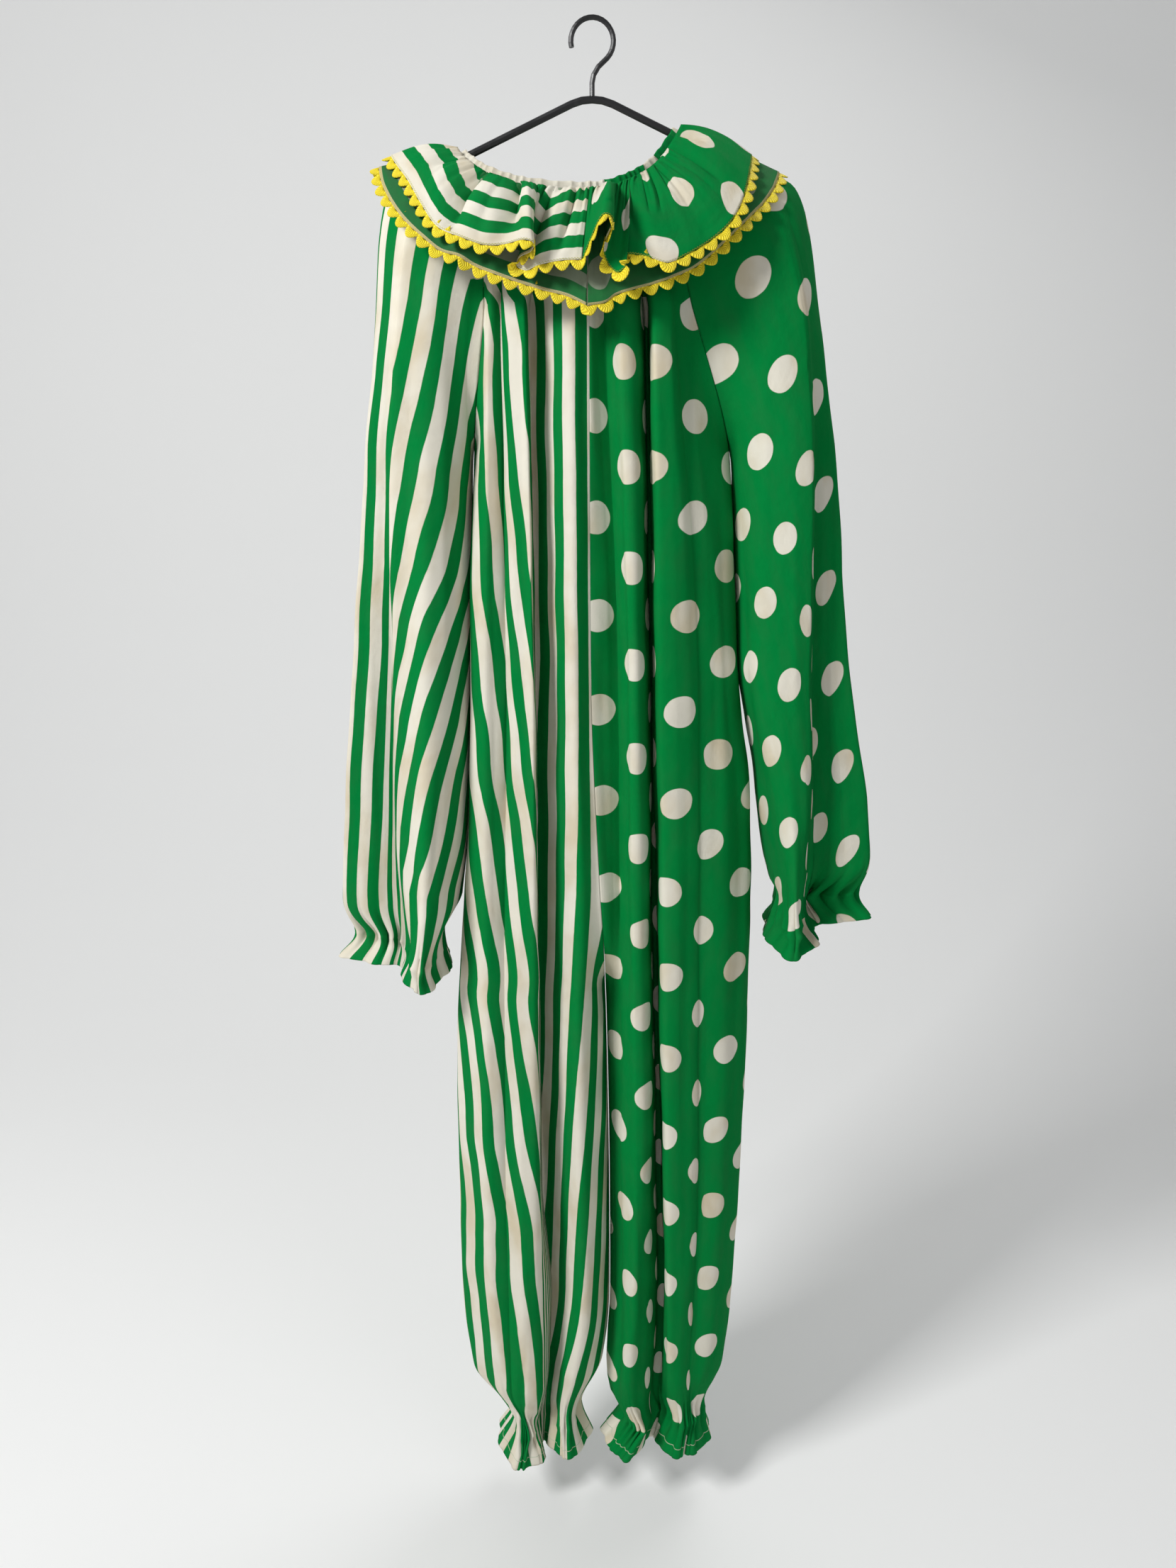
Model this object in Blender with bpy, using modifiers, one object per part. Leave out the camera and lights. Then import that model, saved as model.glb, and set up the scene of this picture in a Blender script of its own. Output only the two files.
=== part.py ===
"""A clown costume hung on a plastic hanger: +Z is up and the front faces -Y.

The garment is a raglan jumpsuit in two halves: the wearer's right half (-X) is striped, the left dotted.
Two collar frills edged with rickrack lie over its shoulders. Elastic gathers each wrist and ankle into a frill.
The origin is the inner top of the hanger's hook. Sizes below are in millimetres, and MM turns them into metres.
"""

import math
from collections import namedtuple

import bmesh
import bpy
from mathutils import Vector

MM = 0.001
WALL = 1.2  # thickness of every cloth wall
SEAM = 0.3  # gap between two pieces that are sewn together
BACK_SHARE = 0.8  # the back hangs this much as deep as the front

# The hanger: a hook and two sloping arms.
HOOK_RADIUS = 20.5
HOOK_WIRE = 2.5
HOOK_START, HOOK_END = 195, -45  # degrees round the hook, from its open end over the top
HOOK_STEPS = 20
SHANK = ((6, 0, -40), (1.5, 0, -47), (0, 0, -54))  # from the hook down to the arms
ARM_RADIUS = 3.6
ARM_REACH = 189
ARM_SLOPE = 0.45
CROWN_Z = -58  # where the two shoulder lines would meet over the hanger's neck
CROWN_TO_ARM = 5.6  # from the middle of the cloth down to the middle of the arm
ARM_PLACES = (ARM_REACH, 120, 60, 20)  # points along one arm's straight slope
# Points of the rounded middle: how far out, and the place on the slope that is as high.
ARM_ROUND = ((10, 13), (0, 11))

# The neck, as a ring of named points: (name, x, y, z), from the front centre round by the wearer's right.
NECK = (
    ("front centre", -3, -46, -152),
    ("front right", -62, -45, -148),
    ("front raglan right", -101, -31, -134),
    ("shoulder right", -124, 0, -113.2),
    ("back raglan right", -101, 28, -128),
    ("back right", -66, 38, -138),
    ("centre back", -14, 40, -142),
    ("back left", 26, 37, -136),
    ("back raglan left", 57, 27, -121),
    ("shoulder left", 79, 0, -92.9),
    ("front raglan left", 58, -31, -126),
    ("front left", 32, -43, -144),
)
NECK_DEPTH = 46
BAND_HIGH = 12
BAND_COLUMNS = 28
BAND_GATHERS = 7
BAND_WAVE = 0.7
BAND_TRIM = 0.004  # of half the neck, cut off where the halves of the band meet

# Heights of the rows of cloth on the body, from the chest down, and the heights that the fold tables give.
# The sleeves share the rows above the armpit, so that both sides of the raglan seam bend at the same places.
BODY_LEVELS = (-260, -310, -360, -405, -500, -620, -740, -850, -930, -990, -1070, -1180, -1290, -1390, -1470)
LEG_END_LEVELS = (-1530, -1560, -1582, -1605)
NECK_ROWS = 2  # rows of cloth between the neck band and the chest
ARMPIT_ROW = 5
EDGE_CROWDING = 1.8  # columns crowd towards a seam, so that the cut edges there stand square to the cloth
NUDGE = 0.01  # of the way from one point to the next: a step along a curve that finds its direction
FOLD_X_HEIGHTS = (-260, -620, -920, -1250, -1390, -1490, -1560, -1605)
FOLD_DEPTH_HEIGHTS = (-260, -620, -1250, -1490, -1560, -1605)
CUFF_Z, HEM_Z = -1560, -1605
FRONT_COLUMNS, BACK_COLUMNS = 3, 2  # between one fold and the next
LEG_WAVES_FRONT, LEG_WAVES_BACK = 7, 5
DROP_Z = -1290  # below this the folds' ends hang lower than the side seam's

# Waves of a gathered frill: they start above the elastic and open towards the hem.
WAVE_FADE = 50
WAVE_AT_CUFF = 1.2
WAVE_AT_HEM = 4.5

# Seams where the cloth forks: its height, the place of the seam, how far apart the two sides hang, its depth.
Edge = namedtuple("Edge", "z x apart depth")
CENTRE = (
    Edge(-260, -3, 0, 50),
    Edge(-620, -1, 0, 50),
    Edge(-860, 9, 0, 50),
    Edge(-920, 13, 0, 42),
    Edge(-960, 15, 0, 24),
    Edge(-990, 16, 0.5, 2),
    Edge(-1015, 17, 1, 0),
    Edge(-1250, 22, 1.5, 0),
    Edge(-1390, 23, 3, 0),
    Edge(-1490, 17, 10, 0),
    Edge(-1560, 4, 34, 0),
    Edge(-1605, 7, 14, 0),
)
SIDE_RIGHT = (
    Edge(-180, -102, 0, 31),
    Edge(-260, -106, 0, 29),
    Edge(-330, -114, 0, 25),
    Edge(-375, -119, 0, 14),
    Edge(-405, -122, 0.3, 1),
    Edge(-430, -123, 0.8, 0),
    Edge(-620, -129, 3, 0),
    Edge(-800, -136, 4, 0),
    Edge(-880, -143, 6, 0),
    Edge(-920, -147, 20, 0),
    Edge(-965, -150, 12, 0),
    Edge(-1050, -155, 12, 0),
    Edge(-1250, -158, 12, 0),
    Edge(-1390, -157, 12, 0),
    Edge(-1490, -147, 12, 0),
    Edge(-1560, -100, 12, 0),
    Edge(-1605, -116, 12, 0),
)
SIDE_LEFT = (
    Edge(-180, 74, 0, 31),
    Edge(-260, 98, 0, 29),
    Edge(-330, 122, 0, 25),
    Edge(-375, 136, 0, 14),
    Edge(-405, 143, 0.3, 1),
    Edge(-430, 145, 0.8, 0),
    Edge(-530, 151, 3, 0),
    Edge(-620, 156, 6, 0),
    Edge(-680, 162, 11, 0),
    Edge(-730, 170, 13, 0),
    Edge(-800, 176, 14, 0),
    Edge(-860, 179, 20, 0),
    Edge(-875, 179, 26, 0),
    Edge(-915, 180, 16, 0),
    Edge(-1050, 180, 16, 0),
    Edge(-1250, 177, 16, 0),
    Edge(-1390, 173, 16, 0),
    Edge(-1490, 163, 16, 0),
    Edge(-1560, 142, 16, 0),
    Edge(-1605, 150, 16, 0),
)

# Folds of the fronts, from the side to the centre: x at FOLD_X_HEIGHTS, depth at FOLD_DEPTH_HEIGHTS,
# and how much lower than the side its leg end hangs.
Fold = namedtuple("Fold", "name x depth drop")
FRONT_RIGHT = (
    Fold("outer ridge", (-101, -114, -121, -125, -122, -113, -92, -100), (38, 46, 58, 50, 27, 44), 14),
    Fold("outer hollow", (-90, -90, -96, -99, -98, -97, -84, -86), (30, 38, 56, 52, 31, 48), 16),
    Fold("inner ridge", (-74, -68, -69, -71, -70, -72, -75, -70), (50, 58, 64, 54, 26, 42), 14),
    Fold("deep pleat", (-60, -58, -57, -55, -47, -50, -57, -57), (25, 28, 22, 20, 9, 18), 6),
    Fold("centre ridge", (-24, -21, -15, -12, -10, -21, -33, -32), (56, 60, 58, 48, 34, 50), 0),
)
FRONT_LEFT = (
    Fold("outer ridge", (89, 139, 154, 156, 152, 144, 133, 136), (34, 38, 38, 34, 18, 36), -2),
    Fold("outer hollow", (79, 111, 118, 124, 121, 119, 120, 116), (46, 50, 46, 42, 28, 48), -4),
    Fold("middle ridge", (66, 77, 86, 94, 98, 100, 104, 98), (58, 62, 58, 50, 32, 48), -4),
    Fold("deep pleat", (52, 62, 70, 79, 84, 82, 76, 76), (26, 26, 20, 18, 9, 16), 0),
    Fold("centre ridge", (30, 42, 49, 56, 56, 52, 52, 44), (60, 64, 58, 50, 34, 50), 2),
    Fold("tuck", (11, 28, 32, 36, 38, 36, 34, 26), (40, 38, 30, 26, 22, 34), 0),
)
# Folds of the backs: the share of the way from the side to the centre, and the depth.
BACK_FOLDS = (
    Fold("outer ridge", 0.18, (34, 40, 46, 40, 22, 38), 0),
    Fold("hollow", 0.4, (27, 28, 24, 20, 9, 20), 0),
    Fold("inner ridge", 0.62, (40, 46, 48, 42, 28, 42), 0),
    Fold("inner hollow", 0.82, (34, 38, 34, 30, 20, 30), 0),
)

# Sleeves. Each station across a sleeve has its height at the seam and at the shoulder or outer edge, and each
# fold, from the seam outwards, its (x, depth) at every station and how much lower its end hangs.
Station = namedtuple("Station", "name seam_z outer_z")
SLEEVE_ROWS = (1, 1, 3, 2, 2, 1, 1, 2)  # rows of cloth between one station and the next
SLEEVE_COLUMNS = 2  # between one fold and the next
CROWN_ROUND = 1.6  # how round the sleeve passes over the hanger
SLEEVE_WAVES = 6  # on the front, and as many on the back
STATIONS_RIGHT = (
    Station("shoulder", -200, -130),
    Station("tip", -260, -148),
    Station("upper arm", -405, -335),
    Station("elbow", -620, -620),
    Station("forearm", -800, -800),
    Station("wrist", -880, -880),
    Station("cuff", -920, -920),
    Station("hem", -962, -962),
)
STATIONS_LEFT = (
    Station("shoulder", -200, -130),
    Station("tip", -260, -148),
    Station("upper arm", -405, -335),
    Station("elbow", -620, -620),
    Station("forearm", -760, -760),
    Station("wrist", -835, -835),
    Station("cuff", -873, -873),
    Station("hem", -915, -915),
)
SleeveFold = namedtuple("SleeveFold", "name at drop")
SLEEVE_RIGHT = (
    SleeveFold(
        "inner front",
        ((-112, 36), (-124, 36), (-134, 30), (-142, 42), (-148, 48), (-155, 49), (-172, 42), (-168, 52)),
        8,
    ),
    SleeveFold(
        "front ridge",
        ((-126, 35), (-150, 40), (-162, 50), (-172, 62), (-178, 72), (-180, 75), (-185, 62), (-189, 80)),
        12,
    ),
    SleeveFold(
        "split",
        ((-140, 28), (-175, 33), (-200, 38), (-211, 32), (-214, 32), (-210, 32), (-206, 26), (-213, 40)),
        4,
    ),
    SleeveFold(
        "outer front",
        ((-152, 15), (-192, 18), (-218, 22), (-237, 32), (-249, 35), (-254, 34), (-240, 22), (-252, 36)),
        0,
    ),
    SleeveFold(
        "outer edge",
        ((-160, 0), (-200, 0), (-226, 0), (-256, 0), (-275, 0), (-281, 0), (-268, 0), (-288, 0)),
        0,
    ),
)
SLEEVE_LEFT = (
    SleeveFold(
        "inner front",
        ((100, 36), (122, 36), (158, 32), (168, 44), (192, 50), (204, 50), (209, 42), (200, 52)),
        16,
    ),
    SleeveFold(
        "front ridge",
        ((122, 35), (150, 40), (187, 48), (192, 60), (209, 70), (215, 72), (219, 58), (222, 78)),
        20,
    ),
    SleeveFold(
        "fold edge",
        ((140, 28), (177, 34), (212, 48), (221, 60), (228, 62), (232, 56), (236, 30), (246, 56)),
        12,
    ),
    SleeveFold(
        "split",
        ((147, 21), (185, 26), (221, 36), (231, 38), (239, 38), (246, 34), (250, 16), (256, 32)),
        4,
    ),
    SleeveFold(
        "outer front",
        ((153, 14), (193, 18), (233, 22), (255, 28), (276, 34), (288, 34), (274, 20), (290, 34)),
        0,
    ),
    SleeveFold(
        "outer edge",
        ((160, 0), (200, 0), (241, 0), (275, 0), (303, 0), (312, 0), (304, 0), (318, 0)),
        0,
    ),
)

# Collar frills: their hems as named points (x, y, z), from the front centre round to the centre back.
FRILL_ROWS = 3
FRILL_COLUMNS = 2  # between one hem point and the next
FRILL_TRIM = 0.04  # of the way from one hem point to the next, cut off where the halves meet
BULGE_LEAN = 0.4  # the bulge is fuller towards the neck
Frill = namedtuple("Frill", "down out bulge")
LOWER_FRILL = Frill(7, 1.6, 3)
UPPER_FRILL = Frill(6, 3.2, 10)
UPPER_HEM_RIGHT = (
    (-9, -92, -229),
    (-30, -92, -230),
    (-50, -88, -233),
    (-62, -83, -237),
    (-71, -78, -232),
    (-68, -81, -225),
    (-57, -92, -222),
    (-54, -103, -217),
    (-64, -102, -214),
    (-82, -92, -216),
    (-100, -89, -216),
    (-122, -82, -208),
    (-146, -70, -196),
    (-163, -52, -172),
    (-177, -32, -148),
    (-190, -14, -130),
    (-198, 4, -118),
    (-186, 26, -140),
    (-160, 48, -176),
    (-132, 66, -198),
    (-112, 62, -210),
    (-88, 74, -216),
    (-64, 66, -220),
    (-40, 76, -222),
    (-16, 70, -222),
)
UPPER_HEM_LEFT = (
    (-9, -92, -229),
    (-2, -101, -214),
    (9, -115, -196),
    (19, -110, -199),
    (12, -93, -213),
    (12, -86, -226),
    (22, -92, -240),
    (31, -95, -235),
    (32, -87, -224),
    (50, -92, -226),
    (70, -94, -232),
    (90, -88, -223),
    (111, -80, -210),
    (129, -75, -194),
    (142, -61, -170),
    (151, -36, -140),
    (156, 2, -117),
    (148, 30, -138),
    (124, 52, -172),
    (100, 68, -194),
    (78, 62, -206),
    (54, 74, -214),
    (30, 66, -218),
    (8, 76, -221),
    (-16, 70, -222),
)
LOWER_HEM_RIGHT = (
    (-5, -84, -268),
    (-24, -80, -259),
    (-44, -78, -254),
    (-68, -77, -247),
    (-92, -76, -239),
    (-112, -72, -231),
    (-126, -74, -223),
    (-144, -68, -217),
    (-162, -62, -203),
    (-178, -52, -188),
    (-192, -38, -170),
    (-204, -20, -148),
    (-209, 2, -128),
    (-200, 24, -150),
    (-176, 42, -186),
    (-150, 54, -214),
    (-122, 50, -228),
    (-98, 60, -238),
    (-70, 54, -244),
    (-44, 62, -248),
    (-16, 58, -248),
)
LOWER_HEM_LEFT = (
    (-5, -84, -268),
    (12, -82, -265),
    (22, -78, -258),
    (38, -78, -253),
    (58, -78, -248),
    (78, -76, -241),
    (98, -74, -232),
    (118, -70, -216),
    (136, -66, -199),
    (151, -56, -184),
    (165, -43, -169),
    (177, -26, -151),
    (184, 2, -133),
    (174, 24, -156),
    (152, 44, -188),
    (128, 54, -212),
    (102, 50, -226),
    (78, 60, -236),
    (50, 54, -243),
    (20, 62, -248),
    (-16, 58, -248),
)

# Rickrack: a wavy braid whose scallops stand out past the hem.
SCALLOP_PITCH = 15.5
BRAID_SHORT, BRAID_LONG = 2.2, 9.0  # how far it reaches between two scallops and at a scallop's tip
BRAID_GAP = 0.8  # from the hem to the braid
BRAID_NUDGE = 0.05


def blend(stops, values, at):
    """The value at a place among rising stops, on a curve that doesn't overshoot the values."""
    if at <= stops[0]:
        return values[0]
    if at >= stops[-1]:
        return values[-1]
    last = len(stops) - 1
    steps = [stops[i + 1] - stops[i] for i in range(last)]
    rises = [(values[i + 1] - values[i]) / steps[i] for i in range(last)]

    def slope(i):
        if i in (0, last):
            return rises[0 if i == 0 else -1]
        before, after = rises[i - 1], rises[i]
        return 0 if before * after <= 0 else 2 * before * after / (before + after)

    i = max(k for k in range(last) if stops[k] <= at)
    t = (at - stops[i]) / steps[i]
    near, far = (1 + 2 * t) * (1 - t) ** 2, t * t * (3 - 2 * t)
    leave, arrive = t * (1 - t) ** 2, t * t * (t - 1)
    return near * values[i] + far * values[i + 1] + steps[i] * (leave * slope(i) + arrive * slope(i + 1))


def drape(heights, values, z):
    """The value at height z from a table whose heights go down."""
    return blend([-height for height in heights], values, -z)


def through(points, at, start=None, end=None):
    """The point at a place on a smooth curve through points, with the directions of its ends."""
    last = len(points) - 1
    i = min(int(at), last - 1)
    t = at - i

    def slope(k):
        if 0 < k < last:
            return (points[k + 1] - points[k - 1]) / 2
        chord = points[1] - points[0] if k == 0 else points[last] - points[last - 1]
        direction = start if k == 0 else end
        return chord if direction is None else direction * chord.length

    near, far = (1 + 2 * t) * (1 - t) ** 2, t * t * (3 - 2 * t)
    leave, arrive = t * (1 - t) ** 2, t * t * (t - 1)
    return near * points[i] + far * points[i + 1] + leave * slope(i) + arrive * slope(i + 1)


def edge_at(edge, z):
    """The place, spread and depth of a seam at a height, and the sine of its turn towards the wearer's middle."""
    heights = [row.z for row in edge]
    x = drape(heights, [row.x for row in edge], z)
    apart = drape(heights, [row.apart for row in edge], z)
    depth = drape(heights, [row.depth for row in edge], z)
    turn = 1 - depth / edge[0].depth
    return x, apart, depth, turn


def neck_at(place):
    """The neck ring at a place, with the directions down the cloth and out of it."""
    count = len(NECK)
    ring = [Vector(NECK[i % count][1:]) for i in range(-2, count + 3)]
    point = through(ring, place % count + 2)
    ahead = through(ring, place % count + 2 + NUDGE)
    along = (ahead - point).normalized()
    front = min(1, abs(point.y) / NECK_DEPTH)
    centre_x = (NECK[3][1] + NECK[9][1]) / 2
    outward = math.copysign(1, point.x - centre_x)
    down = Vector((outward * (1 - front), 0, -ARM_SLOPE * (1 - front) - front))
    down = (down - along * down.dot(along)).normalized()
    out = along.cross(down).normalized()
    hint = Vector((0, math.copysign(front, point.y), 1 - front))
    return point, down, out if out.dot(hint) > 0 else -out


def neck_edge(place):
    """Where the body cloth meets the neck band."""
    point, down, _ = neck_at(place)
    return point + down * (BAND_HIGH + SEAM)


def seam_at(side, neck_place, row, is_front):
    """A point of the body's raglan seam, on a row above the armpit."""
    facing = -1 if is_front else BACK_SHARE
    z = BODY_LEVELS[max(0, row - NECK_ROWS)]
    x, _, depth, _ = edge_at(side, z)
    low = Vector((x, facing * depth, z))
    return neck_edge(neck_place).lerp(low, min(1, row / NECK_ROWS))


def fold_points(z, side, folds, is_front, toward):
    """One row of a body panel, as points from the side seam to the centre seam, with its end directions."""
    x, _, depth, turn = edge_at(side, z)
    facing = -1 if is_front else 1
    share = 1 if is_front else BACK_SHARE
    points = [Vector((x, facing * max(depth * share, SEAM / 2)))]
    centre_x, apart, centre_depth, centre_turn = edge_at(CENTRE, z)
    centre_x -= toward * (SEAM + WALL * centre_turn + apart) / 2
    for fold in folds:
        if is_front:
            fold_x = drape(FOLD_X_HEIGHTS, fold.x, z)
        else:
            fold_x = x + (centre_x - x) * fold.x
        points.append(Vector((fold_x, facing * drape(FOLD_DEPTH_HEIGHTS, fold.depth, z))))
    points.append(Vector((centre_x, facing * max(centre_depth * share, SEAM / 2))))
    start = Vector((toward * math.sqrt(max(0, 1 - turn * turn)), facing * turn))
    end = Vector((toward * math.sqrt(max(0, 1 - centre_turn * centre_turn)), -facing * centre_turn))
    return points, start, end


def frill_wave(above_cuff, cuff_to_hem, waves, share):
    """How far a gathered frill stands off its plain surface: nothing well above the elastic, most at the hem."""
    if above_cuff > WAVE_FADE:
        return 0
    if above_cuff > 0:
        size = WAVE_AT_CUFF * (1 - above_cuff / WAVE_FADE) ** 2
    else:
        size = WAVE_AT_CUFF + (WAVE_AT_HEM - WAVE_AT_CUFF) * -above_cuff / cuff_to_hem
    return size * math.sin(2 * math.pi * waves * share)


def body_panel(name, side, folds, is_front, neck_from, neck_to, toward, material):
    """A front or back: its side seam at the first column, its centre seam at the last."""
    intervals = len(folds) + 1
    drops = [0] + [fold.drop for fold in folds] + [0]
    levels = BODY_LEVELS + LEG_END_LEVELS
    waves = LEG_WAVES_FRONT if is_front else LEG_WAVES_BACK

    def place(u, row):
        share = u / intervals
        if row < NECK_ROWS:
            top = neck_edge(neck_from + (neck_to - neck_from) * share)
            points, start, end = fold_points(levels[0], side, folds, is_front, toward)
            low = through(points, u, start, end)
            low = Vector((low.x, low.y, levels[0]))
            return top.lerp(low, row / NECK_ROWS)
        z = levels[row - NECK_ROWS]
        points, start, end = fold_points(z, side, folds, is_front, toward)
        here = through(points, u, start, end)
        step = NUDGE if u < intervals - 0.5 else -NUDGE
        along = (through(points, u + step, start, end) - here) / step
        across = Vector((along.y, -along.x)).normalized()
        wave = frill_wave(z - CUFF_Z, CUFF_Z - HEM_Z, waves, share)
        lower = through([Vector((drop, 0)) for drop in drops], u).x
        reach = min(1, max(0, (DROP_Z - z) / (DROP_Z - CUFF_Z)))
        return Vector((here.x + across.x * wave, here.y + across.y * wave, z - lower * reach))

    rows = NECK_ROWS + len(levels) - 1
    columns = FRONT_COLUMNS if is_front else BACK_COLUMNS
    return cloth(name, intervals, columns, rows, place, material, rows - len(LEG_END_LEVELS) + 1)


def sleeve(name, side, stations, folds, neck_from, neck_to, outward, material):
    """A raglan sleeve: from its front seam out round the arm and back to its back seam."""
    count = len(folds)
    intervals = 2 * count
    marks = [0]
    for rows in SLEEVE_ROWS:
        marks.append(marks[-1] + rows)

    def seam_point(row, is_front):
        if row <= ARMPIT_ROW:
            body = seam_at(side, neck_from if is_front else neck_to, row, is_front)
        else:
            z = blend(marks, [0] + [s.seam_z for s in stations], row)
            body = Vector((edge_at(side, z)[0], SEAM / 2 * (-1 if is_front else 1), z))
        _, apart, _, turn = edge_at(side, body.z)
        body.x += outward * (SEAM + WALL * turn + apart if row else 0)
        return body

    def line_point(k, row):
        """Fold line k of the loop at a row: 0 is the front seam, count the outer edge, 2 * count the back seam."""
        is_front = k <= count
        near = min(k, intervals - k)
        top = neck_edge(neck_from + (neck_to - neck_from) * k / intervals)
        if near == 0:
            return seam_point(row, is_front)
        fold = folds[near - 1]
        facing = -1 if is_front else BACK_SHARE
        fall = (1 - near / count) ** CROWN_ROUND
        heights = [s.outer_z + (s.seam_z - s.outer_z) * fall for s in stations]
        xs = [top.x] + [spot[0] for spot in fold.at]
        ys = [top.y] + [facing * spot[1] for spot in fold.at]
        drop = fold.drop if is_front else 0
        heights = heights[:-2] + [heights[-2] - drop, heights[-1] - drop]
        return Vector((blend(marks, xs, row), blend(marks, ys, row), blend(marks, [top.z] + heights, row)))

    def place(u, row):
        points = [line_point(k, row) for k in range(intervals + 1)]
        seam_z = points[0].z
        _, _, _, turn = edge_at(side, min(seam_z, side[0].z))
        flat = math.sqrt(max(0, 1 - turn * turn))
        start = Vector((outward * flat, -turn, 0))
        end = Vector((-outward * flat, -turn, 0))
        if row < ARMPIT_ROW:
            slant = (points[1] - points[0]).normalized().z
            start.z, end.z = slant * flat, -slant * flat
        here = through(points, u, start, end)
        cuff, hem = stations[-2].outer_z, stations[-1].outer_z
        wave = frill_wave(here.z - cuff, cuff - hem, 2 * SLEEVE_WAVES, u / intervals) if row > marks[-4] else 0
        step = NUDGE if u < intervals - 0.5 else -NUDGE
        along = (through(points, u + step, start, end) - here) / step
        return here + Vector((along.y, -along.x, 0)).normalized() * wave

    return cloth(name, intervals, SLEEVE_COLUMNS, marks[-1], place, material, marks[-2])


def frill_surface(frill, hem, centre, shoulder):
    """The surface of half a collar frill: u runs along its hem points and t from the neck, 0, to the hem, 1."""
    hem_points = [Vector(point) for point in hem]
    top = next(i for i, point in enumerate(hem) if point[1] >= 0)
    lengths = [0]
    for a, b in zip(hem_points, hem_points[1:]):
        lengths.append(lengths[-1] + (b - a).length)
    front, back = lengths[top], lengths[-1] - lengths[top]
    turns = [min(length / front, 1) + max(0, length - front) / back for length in lengths]

    def place(u, t):
        low = through(hem_points, u)
        along_neck = blend(range(len(hem)), turns, u)
        point, down, out = neck_at(centre + (shoulder - centre) * along_neck)
        high = point + down * frill.down + out * frill.out
        swell = frill.bulge * math.sin(math.pi * min(t, 1)) * (1 - BULGE_LEAN * t)
        return high.lerp(low, t) + out * swell

    return place


def frill_half(name, frill, hem, centre, shoulder, material):
    """Half a collar frill, from the front centre round to the centre back, clear of the other half at both."""
    surface = frill_surface(frill, hem, centre, shoulder)
    last = len(hem) - 1

    def place(u, row):
        return surface(min(max(u, FRILL_TRIM), last - FRILL_TRIM), row / FRILL_ROWS)

    return cloth(name, last, FRILL_COLUMNS, FRILL_ROWS, place, material)


def rickrack(name, frill, hem_right, hem_left, material):
    """The braid along one frill's whole hem, from the centre back round the front to the centre back."""
    inner, outward = [], []
    for hem, centre, shoulder in ((hem_right, 0, 3), (hem_left, 12, 9)):
        surface = frill_surface(frill, hem, centre, shoulder)
        last = len(hem) - 1
        steps = [i / FRILL_COLUMNS for i in range(last * FRILL_COLUMNS + 1)]
        steps[0], steps[-1] = FRILL_TRIM, last - FRILL_TRIM
        rims = [surface(u, 1) for u in steps]
        ways = []
        for u in steps:
            along = (surface(u + BRAID_NUDGE, 1) - surface(u - BRAID_NUDGE, 1)).normalized()
            fall = surface(u, 1) - surface(u, 1 - 1 / FRILL_ROWS)
            ways.append((fall - along * fall.dot(along)).normalized())
        if not inner:
            rims.reverse()
            ways.reverse()
        inner += rims
        outward += ways
    spots = [(inner[0], outward[0])]
    for i in range(1, len(inner)):
        pieces = max(1, round(2 * (inner[i] - inner[i - 1]).length / SCALLOP_PITCH))
        for k in range(1, pieces + 1):
            share = k / pieces
            way = outward[i - 1].lerp(outward[i], share).normalized()
            spots.append((inner[i - 1].lerp(inner[i], share), way))

    def place(u, row):
        rim, way = spots[round(u)]
        reach = BRAID_LONG if round(u) % 2 else BRAID_SHORT
        return rim + way * (BRAID_GAP + reach * row)

    return cloth(name, len(spots) - 1, 1, 1, place, material)


def neck_band(name, neck_from, neck_to, material):
    """Half of the band that gathers the neck, its free edge gently waved."""
    def place(u, row):
        share = min(max(u / BAND_COLUMNS, BAND_TRIM), 1 - BAND_TRIM)
        point, down, out = neck_at(neck_from + (neck_to - neck_from) * share)
        wave = BAND_WAVE * math.sin(2 * math.pi * BAND_GATHERS * share) * (1 - row / 2)
        return point + down * (BAND_HIGH * row / 2) + out * min(0, wave)

    return cloth(name, BAND_COLUMNS, 1, 2, place, material)


def cloth(name, intervals, columns_each, rows, place, material, fine_from=None):
    """A panel of cloth: a flat grid, finer along its hem, whose points are moved to their places, then thickened."""
    columns = intervals * columns_each
    close_edges = columns_each > 1
    mesh = bpy.data.meshes.new(name)
    work = bmesh.new()
    bmesh.ops.create_grid(work, x_segments=columns, y_segments=rows, size=1)

    def row_of(vertex):
        return (1 - vertex.co.y) / 2 * rows

    if fine_from is not None:
        along_hem = [
            edge
            for edge in work.edges
            if abs(edge.verts[0].co.y - edge.verts[1].co.y) < 1e-4 and row_of(edge.verts[0]) > fine_from - 0.5
        ]
        bmesh.ops.subdivide_edges(work, edges=along_hem, cuts=1)
    for vertex in work.verts:
        u = (vertex.co.x + 1) / 2 * intervals
        if close_edges and u < 1:
            u = u**EDGE_CROWDING
        elif close_edges and u > intervals - 1:
            u = intervals - (intervals - u) ** EDGE_CROWDING
        vertex.co = place(u, round(row_of(vertex))) * MM
    work.to_mesh(mesh)
    work.free()
    mesh.shade_smooth()
    panel = bpy.data.objects.new(name, mesh)
    costume.objects.link(panel)
    mesh.materials.append(material)
    wall = panel.modifiers.new("wall", "SOLIDIFY")
    wall.thickness = WALL * MM
    wall.offset = 0
    return panel


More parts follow.
